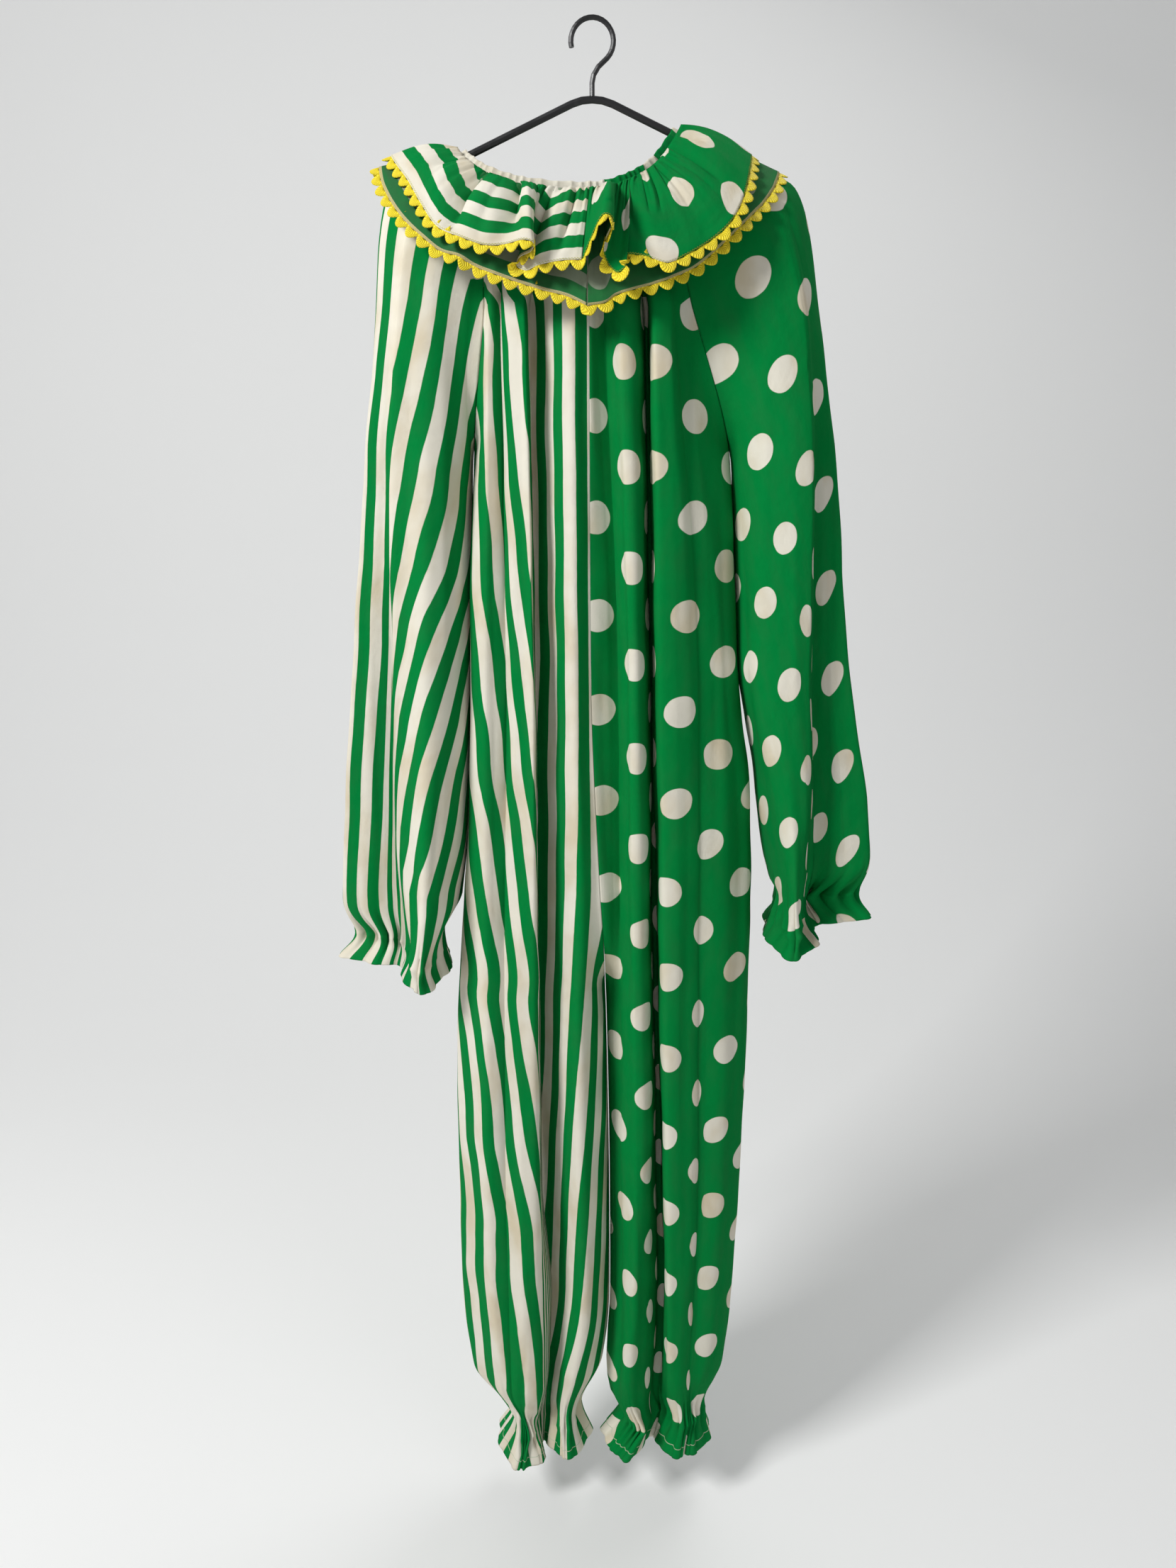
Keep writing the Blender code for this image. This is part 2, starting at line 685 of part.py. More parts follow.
def tube(name, points, radius, collection):
    """A solid bar along points, as a closed mesh."""
    path = bpy.data.curves.new(name, "CURVE")
    path.dimensions = "3D"
    path.bevel_depth = radius * MM
    path.bevel_resolution = 2
    path.use_fill_caps = True
    spline = path.splines.new("POLY")
    spline.points.add(len(points) - 1)
    for spot, point in zip(spline.points, points):
        spot.co = (*(Vector(point) * MM), 1)
    bar = bpy.data.objects.new(name + "_path", path)
    bpy.context.scene.collection.objects.link(bar)
    graph = bpy.context.evaluated_depsgraph_get()
    mesh = bpy.data.meshes.new_from_object(bar.evaluated_get(graph))
    bpy.data.objects.remove(bar)
    work = bmesh.new()
    work.from_mesh(mesh)
    bmesh.ops.remove_doubles(work, verts=work.verts, dist=1e-6)
    work.to_mesh(mesh)
    work.free()
    solid = bpy.data.objects.new(name, mesh)
    collection.objects.link(solid)
    return solid


def hanger(material):
    """Two sloping arms and an open hook, joined into one plastic bar."""
    arm_z = CROWN_Z - CROWN_TO_ARM
    right = [(x, 0, arm_z - ARM_SLOPE * x) for x in ARM_PLACES]
    right += [(x, 0, arm_z - ARM_SLOPE * place) for x, place in ARM_ROUND]
    arms = tube("hanger", right + [(-x, y, z) for x, y, z in reversed(right[:-1])], ARM_RADIUS, costume)
    centre_z = HOOK_WIRE - HOOK_RADIUS
    bend = []
    for i in range(HOOK_STEPS + 1):
        angle = math.radians(HOOK_START + (HOOK_END - HOOK_START) * i / HOOK_STEPS)
        bend.append((HOOK_RADIUS * math.cos(angle), 0, centre_z + HOOK_RADIUS * math.sin(angle)))
    hook = tube("hook", bend + list(SHANK) + [right[-1]], HOOK_WIRE, helpers)
    hook.hide_render = True
    hook.display_type = "WIRE"
    join = arms.modifiers.new("hook", "BOOLEAN")
    join.operation = "UNION"
    join.object = hook
    arms.data.shade_smooth()
    arms.data.materials.append(material)
    return arms


def finish(name, colour, roughness, metallic=0.0):
    """A plain material of one colour."""
    material = bpy.data.materials.new(name)
    material.use_nodes = True
    shader = material.node_tree.nodes["Principled BSDF"]
    shader.inputs["Base Color"].default_value = (*colour, 1)
    shader.inputs["Roughness"].default_value = roughness
    shader.inputs["Metallic"].default_value = metallic
    return material


for thing in list(bpy.data.objects):
    bpy.data.objects.remove(thing)
costume = bpy.data.collections.new("clown_costume")
helpers = bpy.data.collections.new("helpers")
helpers.hide_render = True
bpy.context.scene.collection.children.link(costume)
bpy.context.scene.collection.children.link(helpers)

striped = finish("striped cotton", (0.10, 0.42, 0.16), 0.85)
dotted = finish("dotted cotton", (0.0, 0.24, 0.04), 0.85)
yellow = finish("yellow rickrack", (0.83, 0.68, 0.03), 0.7)
black = finish("black plastic", (0.01, 0.01, 0.01), 0.35)

body_panel("front_right", SIDE_RIGHT, FRONT_RIGHT, True, 2, 0.003, 1, striped)
body_panel("front_left", SIDE_LEFT, FRONT_LEFT, True, 10, 11.997, -1, dotted)
body_panel("back_right", SIDE_RIGHT, BACK_FOLDS, False, 4, 5.997, 1, striped)
body_panel("back_left", SIDE_LEFT, BACK_FOLDS, False, 8, 6.003, -1, dotted)
sleeve("sleeve_right", SIDE_RIGHT, STATIONS_RIGHT, SLEEVE_RIGHT, 2.01, 3.99, -1, striped)
sleeve("sleeve_left", SIDE_LEFT, STATIONS_LEFT, SLEEVE_LEFT, 9.99, 8.01, 1, dotted)
frill_half("collar_lower_right", LOWER_FRILL, LOWER_HEM_RIGHT, 0, 3, striped)
frill_half("collar_lower_left", LOWER_FRILL, LOWER_HEM_LEFT, 12, 9, dotted)
frill_half("collar_upper_right", UPPER_FRILL, UPPER_HEM_RIGHT, 0, 3, striped)
frill_half("collar_upper_left", UPPER_FRILL, UPPER_HEM_LEFT, 12, 9, dotted)
rickrack("rickrack_lower", LOWER_FRILL, LOWER_HEM_RIGHT, LOWER_HEM_LEFT, yellow)
rickrack("rickrack_upper", UPPER_FRILL, UPPER_HEM_RIGHT, UPPER_HEM_LEFT, yellow)
neck_band("neck_band_right", 0, 6, striped)
neck_band("neck_band_left", 12, 6, dotted)
hanger(black)
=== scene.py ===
"""A clown costume on a plastic hanger: the cloth, print, braid and plastic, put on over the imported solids.

+Z is up, the front faces -Y, and the origin is the inner top of the hanger's hook. The wearer's right half (-X)
is striped and the left half dotted. Sizes are in millimetres, and MM turns them into metres.
"""

import math
from collections import namedtuple

import bpy
import numpy as np
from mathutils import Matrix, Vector


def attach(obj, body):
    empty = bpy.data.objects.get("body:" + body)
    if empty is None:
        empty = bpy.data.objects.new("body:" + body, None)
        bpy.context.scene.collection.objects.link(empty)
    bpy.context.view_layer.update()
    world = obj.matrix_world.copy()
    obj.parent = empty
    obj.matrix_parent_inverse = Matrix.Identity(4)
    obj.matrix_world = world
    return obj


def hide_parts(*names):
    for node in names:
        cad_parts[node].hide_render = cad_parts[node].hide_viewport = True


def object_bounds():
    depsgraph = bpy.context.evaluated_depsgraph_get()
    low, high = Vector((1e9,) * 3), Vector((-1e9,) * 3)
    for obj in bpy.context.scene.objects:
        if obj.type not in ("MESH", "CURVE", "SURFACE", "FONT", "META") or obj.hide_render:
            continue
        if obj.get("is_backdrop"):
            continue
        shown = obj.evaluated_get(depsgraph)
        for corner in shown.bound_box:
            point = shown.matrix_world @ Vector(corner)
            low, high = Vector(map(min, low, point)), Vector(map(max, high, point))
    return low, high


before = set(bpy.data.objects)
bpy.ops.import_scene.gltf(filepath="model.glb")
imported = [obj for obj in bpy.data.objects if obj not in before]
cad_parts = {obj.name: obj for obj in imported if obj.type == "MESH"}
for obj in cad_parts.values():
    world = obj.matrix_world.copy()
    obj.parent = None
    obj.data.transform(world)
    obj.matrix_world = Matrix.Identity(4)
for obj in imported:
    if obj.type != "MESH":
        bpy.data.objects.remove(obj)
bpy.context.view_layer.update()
MM = 0.001


# The camera. It stands before the chest, a little over a metre away, and looks down a little, so the legs run
# away from it. The frame is taller than it is wide.
CAMERA_PLACE = (-0.004, -1.27, -0.44)
CAMERA_DOWN = 13.85  # degrees below level
CAMERA_LENS, CAMERA_SENSOR = 27.05, 36

bpy.ops.object.camera_add(location=CAMERA_PLACE, rotation=(math.radians(90 - CAMERA_DOWN), 0, 0))
camera = bpy.context.object
camera.data.lens = CAMERA_LENS
camera.data.sensor_width = CAMERA_SENSOR
bpy.context.scene.camera = camera
bpy.context.scene.view_settings.view_transform = "Standard"


# The hanger. A plain injection-moulded one in black plastic: two sloping arms and an open hook. It is the
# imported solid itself, with the slight orange-peel and scuffs of cheap moulded plastic.
PLASTIC = (0.012, 0.012, 0.013)
PLASTIC_WORN = (0.05, 0.05, 0.05)
SCUFF_SCALE, SCUFF_SHARE = 90, 0.5  # how fine the scuffs are, and how pale they get
GLOSS_SCALE = 40  # of the patches that are more or less worn to a gloss
PEEL_SCALE, PEEL_HIGH = 700, 0.00012


class Nodes:
    """A material's nodes, added and linked by name."""

    def __init__(self, name, roughness, specular=0.5):
        self.material = bpy.data.materials.new(name)
        self.material.use_nodes = True
        self.tree = self.material.node_tree
        self.shader = self.tree.nodes["Principled BSDF"]
        self.shader.inputs["Roughness"].default_value = roughness
        self.shader.inputs["Specular IOR Level"].default_value = specular

    def add(self, kind, inputs, **settings):
        """A node whose inputs are numbers, colours or other nodes' sockets, and its first output."""
        node = self.tree.nodes.new(kind)
        for setting, value in settings.items():
            setattr(node, setting, value)
        for key, value in inputs.items():
            if isinstance(value, bpy.types.NodeSocket):
                self.tree.links.new(value, node.inputs[key])
            else:
                node.inputs[key].default_value = value
        return node.outputs[0]

    def math(self, operation, *values):
        return self.add("ShaderNodeMath", dict(enumerate(values)), operation=operation)

    def split(self, where):
        """The x, y and z of a place."""
        return self.add("ShaderNodeSeparateXYZ", {0: where}).node.outputs

    def stretched(self, where, down):
        return self.add("ShaderNodeMapping", {"Vector": where, "Scale": (1.0, down, 1.0)})

    def noise(self, where, scale, detail=2.0):
        return self.add("ShaderNodeTexNoise", {"Vector": where, "Scale": scale, "Detail": detail})

    def mix(self, share, first, second):
        """The first colour where the share is 0 and the second where it is 1."""
        first, second = ((*colour, 1) if isinstance(colour, tuple) else colour for colour in (first, second))
        made = self.add("ShaderNodeMix", {"Factor": share, "A": first, "B": second}, data_type="RGBA")
        return made.node.outputs["Result"]

    def ramp(self, value, low, high, to_low=0.0, to_high=1.0):
        """The value stretched so that low gives to_low and high gives to_high, with smooth ends."""
        ends = {"From Min": low, "From Max": high, "To Min": to_low, "To Max": to_high}
        return self.add("ShaderNodeMapRange", {"Value": value, **ends}, interpolation_type="SMOOTHSTEP")

    def bump(self, height, distance, under=None):
        """A bump of that height in metres, on top of another one."""
        inputs = {"Height": height, "Distance": distance, "Strength": 1.0}
        return self.add("ShaderNodeBump", inputs if under is None else {**inputs, "Normal": under})

    def give(self, name, socket):
        """Links a socket to one of the shader's own."""
        self.tree.links.new(socket, self.shader.inputs[name])


def moulded_plastic():
    made = Nodes("moulded plastic", 0.34)
    spot = made.add("ShaderNodeTexCoord", {}).node.outputs["Object"]
    scuff = made.ramp(made.noise(spot, SCUFF_SCALE, 6), 0.56, 0.72)
    made.give("Base Color", made.mix(made.math("MULTIPLY", scuff, SCUFF_SHARE), PLASTIC, PLASTIC_WORN))
    made.give("Roughness", made.ramp(made.noise(spot, GLOSS_SCALE, 4), 0.3, 0.7, 0.28, 0.46))
    made.give("Normal", made.bump(made.noise(spot, PEEL_SCALE, 2), PEEL_HIGH))
    return made.material


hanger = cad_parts["hanger"]
hanger.data.materials.clear()
hanger.data.materials.append(moulded_plastic())


# The neck band, in two halves. A narrow band of the same cotton is folded over the raw top of the suit and the
# frills, with elastic inside, so it puckers all the way round. On the striped half its top edge is a white
# stripe.
NECK = (
    ("front centre", -3, -46, -152), ("front right", -62, -45, -148), ("front raglan right", -101, -31, -134),
    ("shoulder right", -124, 0, -113.2), ("back raglan right", -101, 28, -128), ("back right", -66, 38, -138),
    ("centre back", -14, 40, -142), ("back left", 26, 37, -136), ("back raglan left", 57, 27, -121),
    ("shoulder left", 79, 0, -92.9), ("front raglan left", 58, -31, -126), ("front left", 32, -43, -144),
)
NECK_DEPTH = 46
NECK_TRIM, RAGLAN_TRIM = 0.003, 0.01  # of the ring, cut off where two pieces meet at the middle or at a raglan seam
ARM_SLOPE = 0.45  # of the hanger's arms, which the shoulders lie along
BAND_HIGH, BAND_WAVE, BAND_PUCKERS = 12, 1.1, 34
BAND_CALM = 0.55  # how much of the puckers is gone at the band's lower edge
BAND_SHARP = 0.7  # under 1, so the puckers have narrow valleys and full ridges
BAND_UNEVEN, BAND_UNEVEN_TURNS = 0.3, 5.3  # of a pucker: how far their spacing wanders, and how often
BAND_LIFT = 0.4  # of a pucker's height: how far its top edge rises and falls
BAND_FULL = 1.7  # the flat band's length over its gathered length
BAND_COLUMNS, BAND_ROWS = 340, 8
NUDGE = 0.01  # of the way from one point to the next: a step along a curve that finds its direction
CLOTH = 0.8  # thickness of the cotton with its crumple

# The costume's halves: the cloth and the side in the pieces' names, the slot, which way the middle is, and the
# point where the half's way round the ring starts. The left half goes round the other way.
Half = namedtuple("Half", "cloth hand slot toward start")
STRIPED = Half("striped", "right", "striped_cotton", 1, 0)
DOTTED = Half("dotted", "left", "dotted_cotton", -1, len(NECK))

# The green fades to the second one where it is worn, and on the wrong side that darker green is partly painted shade.
GREEN, GREEN_FADED_AND_SHADE = (0.0, 0.215, 0.042), (0.045, 0.13, 0.055)
# The white's second colour is partly a real tan of age and partly painted shade: the colour the white takes in shade.
WHITE, WHITE_TAN_AND_SHADE = (0.80, 0.765, 0.66), (0.60, 0.49, 0.30)
WHITE_GREY_AND_SHADE = (0.13, 0.21, 0.12)  # the dye that shows through from the other side, and painted shade on the frill that lies in shade
THREAD = (0.42, 0.42, 0.05)  # of the zigzag stitches that hold the braid
STITCH = (0.50, 0.56, 0.40)  # of the hems' straight stitches
ZIGZAG, ZIGZAG_FROM = 1.4 * MM, 0.9 * MM  # how wide, and how far from the hem
YARN, YARN_HIGH = 0.55 * MM, 0.00006  # of the weave: from one thread to the next, and how far one stands out
SLUB_SCALE, SLUB_HIGH = 900, 0.00012  # of the thick places in the threads
CRUMPLE_SCALE, CRUMPLE_HIGH = 38, 0.002
WAVER_SCALE = 60  # of the print's slight waver
STRIPE = 27 * MM  # one green and one white
STRIPE_WAVER, DOT_WAVER = 0.0006, 0.0016
DOT_SPACING = 49.3 * MM  # from one column of dots to the next; every other column is half a step lower
DOT_RADIUS = 16.7 * MM
EDGE_SOFT = 0.012  # of a stripe or a dot's spacing: how sharply the dye stops
# The white's tan and the green's wear: how fine their patches are, and the share of that along the cloth. The tan
# is partly real and partly painted shade, the colour the white takes in shade; it has a least and a most. Wear has at
# least this share of how faded the side is, and at most this much more than it; on the wrong side that share is
# partly painted shade.
TAN_SHADE_SCALE, TAN_SHADE_ALONG, TAN_SHADE_LEAST, TAN_SHADE_MOST = 22, 0.45, 0.05, 0.7
WEAR_SCALE, WEAR_ALONG, WEAR_SHADE_LEAST, WEAR_ADDED = 70, 0.3, 0.6, 0.15
THROUGH_AND_SHADE = 0.9  # how much of the dye that shows through, with painted shade, greys the white of a wholly faded side


def hermite(t):
    """The weights of a curve's two end points and two end slopes, at a share t of the way along it."""
    return (1 + 2 * t) * (1 - t) ** 2, t * t * (3 - 2 * t), t * (1 - t) ** 2, t * t * (t - 1)


def through(points, at, start=None, end=None):
    """Points on a smooth curve through others, at places counted in points along it."""
    points = np.asarray(points, float)
    last = len(points) - 1
    first, final = points[1] - points[0], points[-1] - points[-2]
    slopes = np.empty_like(points)
    slopes[1:-1] = (points[2:] - points[:-2]) / 2
    slopes[0] = first if start is None else np.multiply(start, np.linalg.norm(first))
    slopes[-1] = final if end is None else np.multiply(end, np.linalg.norm(final))
    i = np.clip(np.asarray(at, float).astype(int), 0, last - 1)
    near, far, leave, arrive = hermite((at - i)[:, None])
    return near * points[i] + far * points[i + 1] + leave * slopes[i] + arrive * slopes[i + 1]


def unit(vectors):
    return vectors / np.linalg.norm(vectors, axis=-1, keepdims=True)


def length_to(points):
    """The length of a line of points up to each one."""
    return np.concatenate([[0], np.cumsum(np.linalg.norm(np.diff(points, axis=0), axis=1))])


def neck_at(places):
    """The neck ring at places along it, with the directions down the cloth and out of it."""
    count = len(NECK)
    ring = [NECK[i % count][1:] for i in range(-2, count + 3)]
    places = np.asarray(places, float) % count
    points = through(ring, places + 2)
    along = unit(through(ring, places + 2 + NUDGE) - points)
    front = np.minimum(1, abs(points[:, 1]) / NECK_DEPTH)
    outward = np.sign(points[:, 0] - (NECK[3][1] + NECK[9][1]) / 2)
    down = np.stack([outward * (1 - front), 0 * front, -ARM_SLOPE * (1 - front) - front], axis=1)
    down = unit(down - along * (down * along).sum(axis=1, keepdims=True))
    out = unit(np.cross(along, down))
    hint = np.stack([0 * front, np.copysign(front, points[:, 1]), 1 - front], axis=1)
    return points, down, out * np.sign((out * hint).sum(axis=1, keepdims=True))


def neck_row(half, first, last, share):
    """The ring at shares of the way between two places on the right half, or on the left half its twin places."""
    first, last = abs(half.start - first), abs(half.start - last)
    return neck_at(first + (last - first) * share)


def cut_cloth(name, points, across, down, right_side, wrong_side=None, thickness=CLOTH, turned=False):
    """A piece of cloth: a flat grid whose points move to their places, then thickened. Its UV map is the flat cloth.

    points is rows of places in millimetres. across and down are each point's place on the flat cloth. A turned
    piece has its columns the other way round, so that its right side faces out.
    """
    if turned:
        points, across, down = (grid[:, ::-1] for grid in (points, across, down))
    rows, columns = points.shape[0] - 1, points.shape[1] - 1
    bpy.ops.mesh.primitive_grid_add(x_subdivisions=columns, y_subdivisions=rows, size=2)
    piece = bpy.context.object
    piece.name = piece.data.name = name
    flat = np.empty(len(piece.data.vertices) * 3)
    piece.data.vertices.foreach_get("co", flat)
    flat = flat.reshape(-1, 3)
    column = np.rint((flat[:, 0] + 1) / 2 * columns).astype(int)
    row = np.rint((1 - flat[:, 1]) / 2 * rows).astype(int)
    piece.data.vertices.foreach_set("co", (points[row, column] * MM).ravel())
    corner = np.empty(len(piece.data.loops), int)
    piece.data.loops.foreach_get("vertex_index", corner)
    spots = np.stack([across[row, column], down[row, column]], axis=1)[corner] * MM
    piece.data.uv_layers[0].data.foreach_set("uv", spots.ravel())
    piece.data.update()
    for side in (right_side, wrong_side or right_side):
        piece.data.materials.append(side)
    bpy.ops.object.shade_smooth()
    wall = piece.modifiers.new("wall", "SOLIDIFY")
    wall.thickness = thickness * MM
    wall.offset = 0
    wall.material_offset = 1
    bpy.ops.object.modifier_apply(modifier=wall.name)
    return piece


Cut = namedtuple("Cut", "width length area")  # of a flat piece of cloth, in metres


def lay_flat(piece, node, half):
    """Hides the imported solid that the piece stands for and puts the piece on the root body."""
    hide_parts(f"{node}_{half.hand}")
    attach(piece, "root")


def cotton(name, waver):
    """Plain-weave cotton with its threads, slubs and soft crumple, its flat place, and the wavering x and y."""
    made = Nodes(name, 0.9, specular=0.05)
    spot = made.add("ShaderNodeUVMap", {}, uv_map="UVMap")
    turns = 2 * math.pi / YARN
    warp, weft = (made.math("SINE", made.math("MULTIPLY", way, turns)) for way in made.split(spot)[:2])
    weave = made.math("MULTIPLY", warp, weft)
    slub = made.noise(made.stretched(spot, 0.12), SLUB_SCALE, 2)
    bump = made.bump(made.noise(spot, CRUMPLE_SCALE, 3), CRUMPLE_HIGH)
    bump = made.bump(slub, SLUB_HIGH, bump)
    made.give("Normal", made.bump(weave, YARN_HIGH, bump))
    made.give("Roughness", made.ramp(slub, 0.3, 0.7, 0.78, 0.92))
    shift = made.noise(spot, WAVER_SCALE).node.outputs["Color"]
    moved = {0: shift, 1: (waver, waver, 0), 2: spot}
    return made, spot, made.split(made.add("ShaderNodeVectorMath", moved, operation="MULTIPLY_ADD"))


def printed(made, spot, place, green_share, faded_and_shaded, hem, stitches):
    """Gives the cotton its print, green where the share is 1 and white where it is 0, and then its stitching.

    The white is partly tanned with age and partly painted shade, in soft patches of the colour it takes in shade. The
    green is worn along the threads. Both fade on the wrong side, where they are darkened further as painted shade.
    hem is how wide a frill's worn edge is, and stitches how far down the cloth a hem is sewn.
    """
    # Painted shade in part: the tan patches give the white the colour it takes in shade.
    tan_and_shade = made.noise(made.stretched(spot, TAN_SHADE_ALONG), TAN_SHADE_SCALE, 3)
    tan_and_shade = made.ramp(tan_and_shade, 0.4, 0.75, TAN_SHADE_LEAST, TAN_SHADE_MOST)
    # On the wrong side the white goes to a grey green: partly the dye that shows through, partly painted shade.
    white = made.mix(THROUGH_AND_SHADE * faded_and_shaded, made.mix(tan_and_shade, WHITE, WHITE_TAN_AND_SHADE), WHITE_GREY_AND_SHADE)
    # Worn patches of the green; on the wrong side they cover most of it, partly as painted shade.
    wear_and_shade = made.noise(made.stretched(spot, WEAR_ALONG), WEAR_SCALE, 5)
    wear_and_shade = made.ramp(wear_and_shade, 0.35, 0.8, faded_and_shaded * WEAR_SHADE_LEAST, min(1.0, faded_and_shaded + WEAR_ADDED))
    cloth = made.mix(green_share, white, made.mix(wear_and_shade, GREEN, GREEN_FADED_AND_SHADE))
    if hem:
        cloth = made.mix(made.ramp(place[0], hem, hem + 0.8 * MM, 0.85, 0.0), cloth, WHITE_TAN_AND_SHADE)
    if hem is not None:
        from_line = made.math("SUBTRACT", place[0], made.math("PINGPONG", place[1], ZIGZAG))
        away = made.math("ABSOLUTE", made.math("SUBTRACT", from_line, ZIGZAG_FROM))
        cloth = made.mix(made.ramp(away, 0.25 * MM, 0.5 * MM, 0.8, 0.0), cloth, THREAD)
    if stitches is not None:
        away = made.math("ABSOLUTE", made.math("SUBTRACT", place[1], stitches))
        cloth = made.mix(made.ramp(away, 0.3 * MM, 0.6 * MM, 0.75, 0.0), cloth, STITCH)
    made.give("Base Color", cloth)
    return made.material


def striped_cotton(name, white_to, faded_and_shaded=0.0, hem=None, stitches=None):
    """Green and white stripes of equal width along the cloth. A white one ends at white_to metres across."""
    made, spot, place = cotton(name, STRIPE_WAVER)
    turn = made.math("DIVIDE", made.math("SUBTRACT", place[0], white_to - STRIPE / 4), STRIPE)
    from_white = made.math("PINGPONG", made.math("FRACT", turn), 0.5)
    green_share = made.ramp(from_white, 0.25 - EDGE_SOFT, 0.25 + EDGE_SOFT)
    return printed(made, spot, place, green_share, faded_and_shaded, hem, stitches)


def dotted_cotton(name, first_across, first_down, faded_and_shaded=0.0, hem=None, stitches=None):
    """White dots on green, each column half a step below the last. One dot's centre is at the given place."""
    made, spot, place = cotton(name, DOT_WAVER)
    across = made.math("SUBTRACT", place[0], first_across)
    down = made.math("SUBTRACT", place[1], first_down)
    gaps = []
    for operation in ("ADD", "SUBTRACT"):
        diagonal = made.math("DIVIDE", made.math(operation, across, down), 2 * DOT_SPACING)
        gaps.append(made.math("POWER", made.math("PINGPONG", diagonal, 0.5), 2.0))
    away = made.math("SQRT", made.math("ADD", *gaps))
    rim = DOT_RADIUS / (DOT_SPACING * math.sqrt(2))
    green_share = made.ramp(away, rim - EDGE_SOFT / 2, rim + EDGE_SOFT / 2)
    return printed(made, spot, place, green_share, faded_and_shaded, hem, stitches)


def neck_band(half, right_side):
    """Half of the band, puckered by its elastic, most at its free top edge."""
    share = np.linspace(0, 1, BAND_COLUMNS + 1)
    drop = np.linspace(0, 1, BAND_ROWS + 1)
    point, down, out = neck_row(half, NECK_TRIM, 6 - NECK_TRIM, share)
    turn = BAND_PUCKERS * share + BAND_UNEVEN * np.sin(2 * math.pi * BAND_UNEVEN_TURNS * share)
    pucker = 1 - 2 * np.abs(np.sin(math.pi * turn)) ** BAND_SHARP
    size = BAND_WAVE * (1 - BAND_CALM * drop)
    lift = -BAND_LIFT * BAND_WAVE * (1 - drop)[:, None] * np.sin(2 * math.pi * 0.5 * turn + 1)
    points = point + down * (BAND_HIGH * drop[:, None, None] + lift[..., None])
    points = points + out * (size[:, None] * (pucker - 0.2))[..., None]
    across, along = np.broadcast_arrays(BAND_HIGH * drop[:, None], BAND_FULL * length_to(point))
    band = cut_cloth(f"band_{half.cloth}", points, across, along, right_side)
    lay_flat(band, "neck_band", half)


WHITE_EDGE = 6.5 * MM  # of the striped band shows before its first green stripe
striped_band = striped_cotton("striped cotton, neck band", WHITE_EDGE)
BAND_DOT = 60 * MM, 60 * MM  # a dot's centre, counted from the flat band's corner
dotted_band = dotted_cotton("dotted cotton, neck band", *BAND_DOT)
neck_band(STRIPED, striped_band)
neck_band(DOTTED, dotted_band)


# The fronts and backs. Two half suits, one of striped and one of dotted cotton, are joined down the middle.
# Each front and back is one length of cloth from the neck to the ankle, gathered at the neck, so its fullness
# hangs in long pleats.
BACK_SHARE = 0.8  # the back's seams hang this much as deep as the front's
CHEST_Z, CUFF_Z, HEM_Z = -260, -1566, -1605
NECK_CALM_Z = -300  # from here up to the chest line the cloth's unevenness fades out
CUFF_CALM = 60  # above the elastic, over this height, it fades out too
DROP_Z = -1290  # below this the folds' ends hang lower than the side seam's
FORK_Z = -860  # where the middle seam ends and the two legs begin: below it the print hangs from the inner ridge
NECK_STEPS, BODY_STEP, GATHER_Z, GATHER_STEP = 14, 7.5, -1488, 2.6  # rows of points, and millimetres between them
COLUMNS_EACH = 20  # points between one fold and the next
FOLD_X_HEIGHTS = (-260, -620, -920, -1250, -1390, -1490, -1560, -1605)
FOLD_DEPTH_HEIGHTS = (-260, -620, -1250, -1490, -1560, -1605)


def rows_of(kind, *rows):
    return [kind(*row) for row in rows]


# Seams where the cloth forks: its height, the place of the seam, how far apart the two sides hang, its depth.
Edge = namedtuple("Edge", "z x apart depth")
CENTRE = rows_of(
    Edge,
    (-260, -3, 0, 50), (-620, -1, 0, 50), (-860, 9, 0, 50), (-920, 13, 0, 42), (-960, 15, 0, 24),
    (-990, 16, 0.5, 2), (-1015, 17, 1, 0), (-1250, 22, 1.5, 0), (-1390, 23, 3, 0), (-1490, 17, 10, 0),
    (-1560, 4, 34, 0), (-1605, 7, 14, 0),
)
SIDE_RIGHT = rows_of(
    Edge,
    (-180, -102, 0, 31), (-260, -106, 0, 29), (-330, -114, 0, 25), (-375, -119, 0, 14), (-405, -122, 0.3, 1),
    (-430, -123, 0.8, 0), (-620, -129, 3, 0), (-800, -136, 4, 0), (-880, -143, 6, 0), (-920, -147, 20, 0),
    (-965, -150, 12, 0), (-1050, -155, 12, 0), (-1250, -158, 12, 0), (-1390, -157, 12, 0), (-1490, -147, 12, 0),
    (-1560, -100, 12, 0), (-1605, -116, 12, 0),
)
SIDE_LEFT = rows_of(
    Edge,
    (-180, 74, 0, 31), (-260, 98, 0, 29), (-330, 122, 0, 25), (-375, 136, 0, 14), (-405, 143, 0.3, 1),
    (-430, 145, 0.8, 0), (-530, 151, 3, 0), (-620, 156, 6, 0), (-680, 162, 11, 0), (-730, 170, 13, 0),
    (-800, 176, 14, 0), (-860, 179, 20, 0), (-875, 179, 26, 0), (-915, 180, 16, 0), (-1050, 180, 16, 0),
    (-1250, 177, 16, 0), (-1390, 173, 16, 0), (-1490, 163, 16, 0), (-1560, 142, 16, 0), (-1605, 150, 16, 0),
)

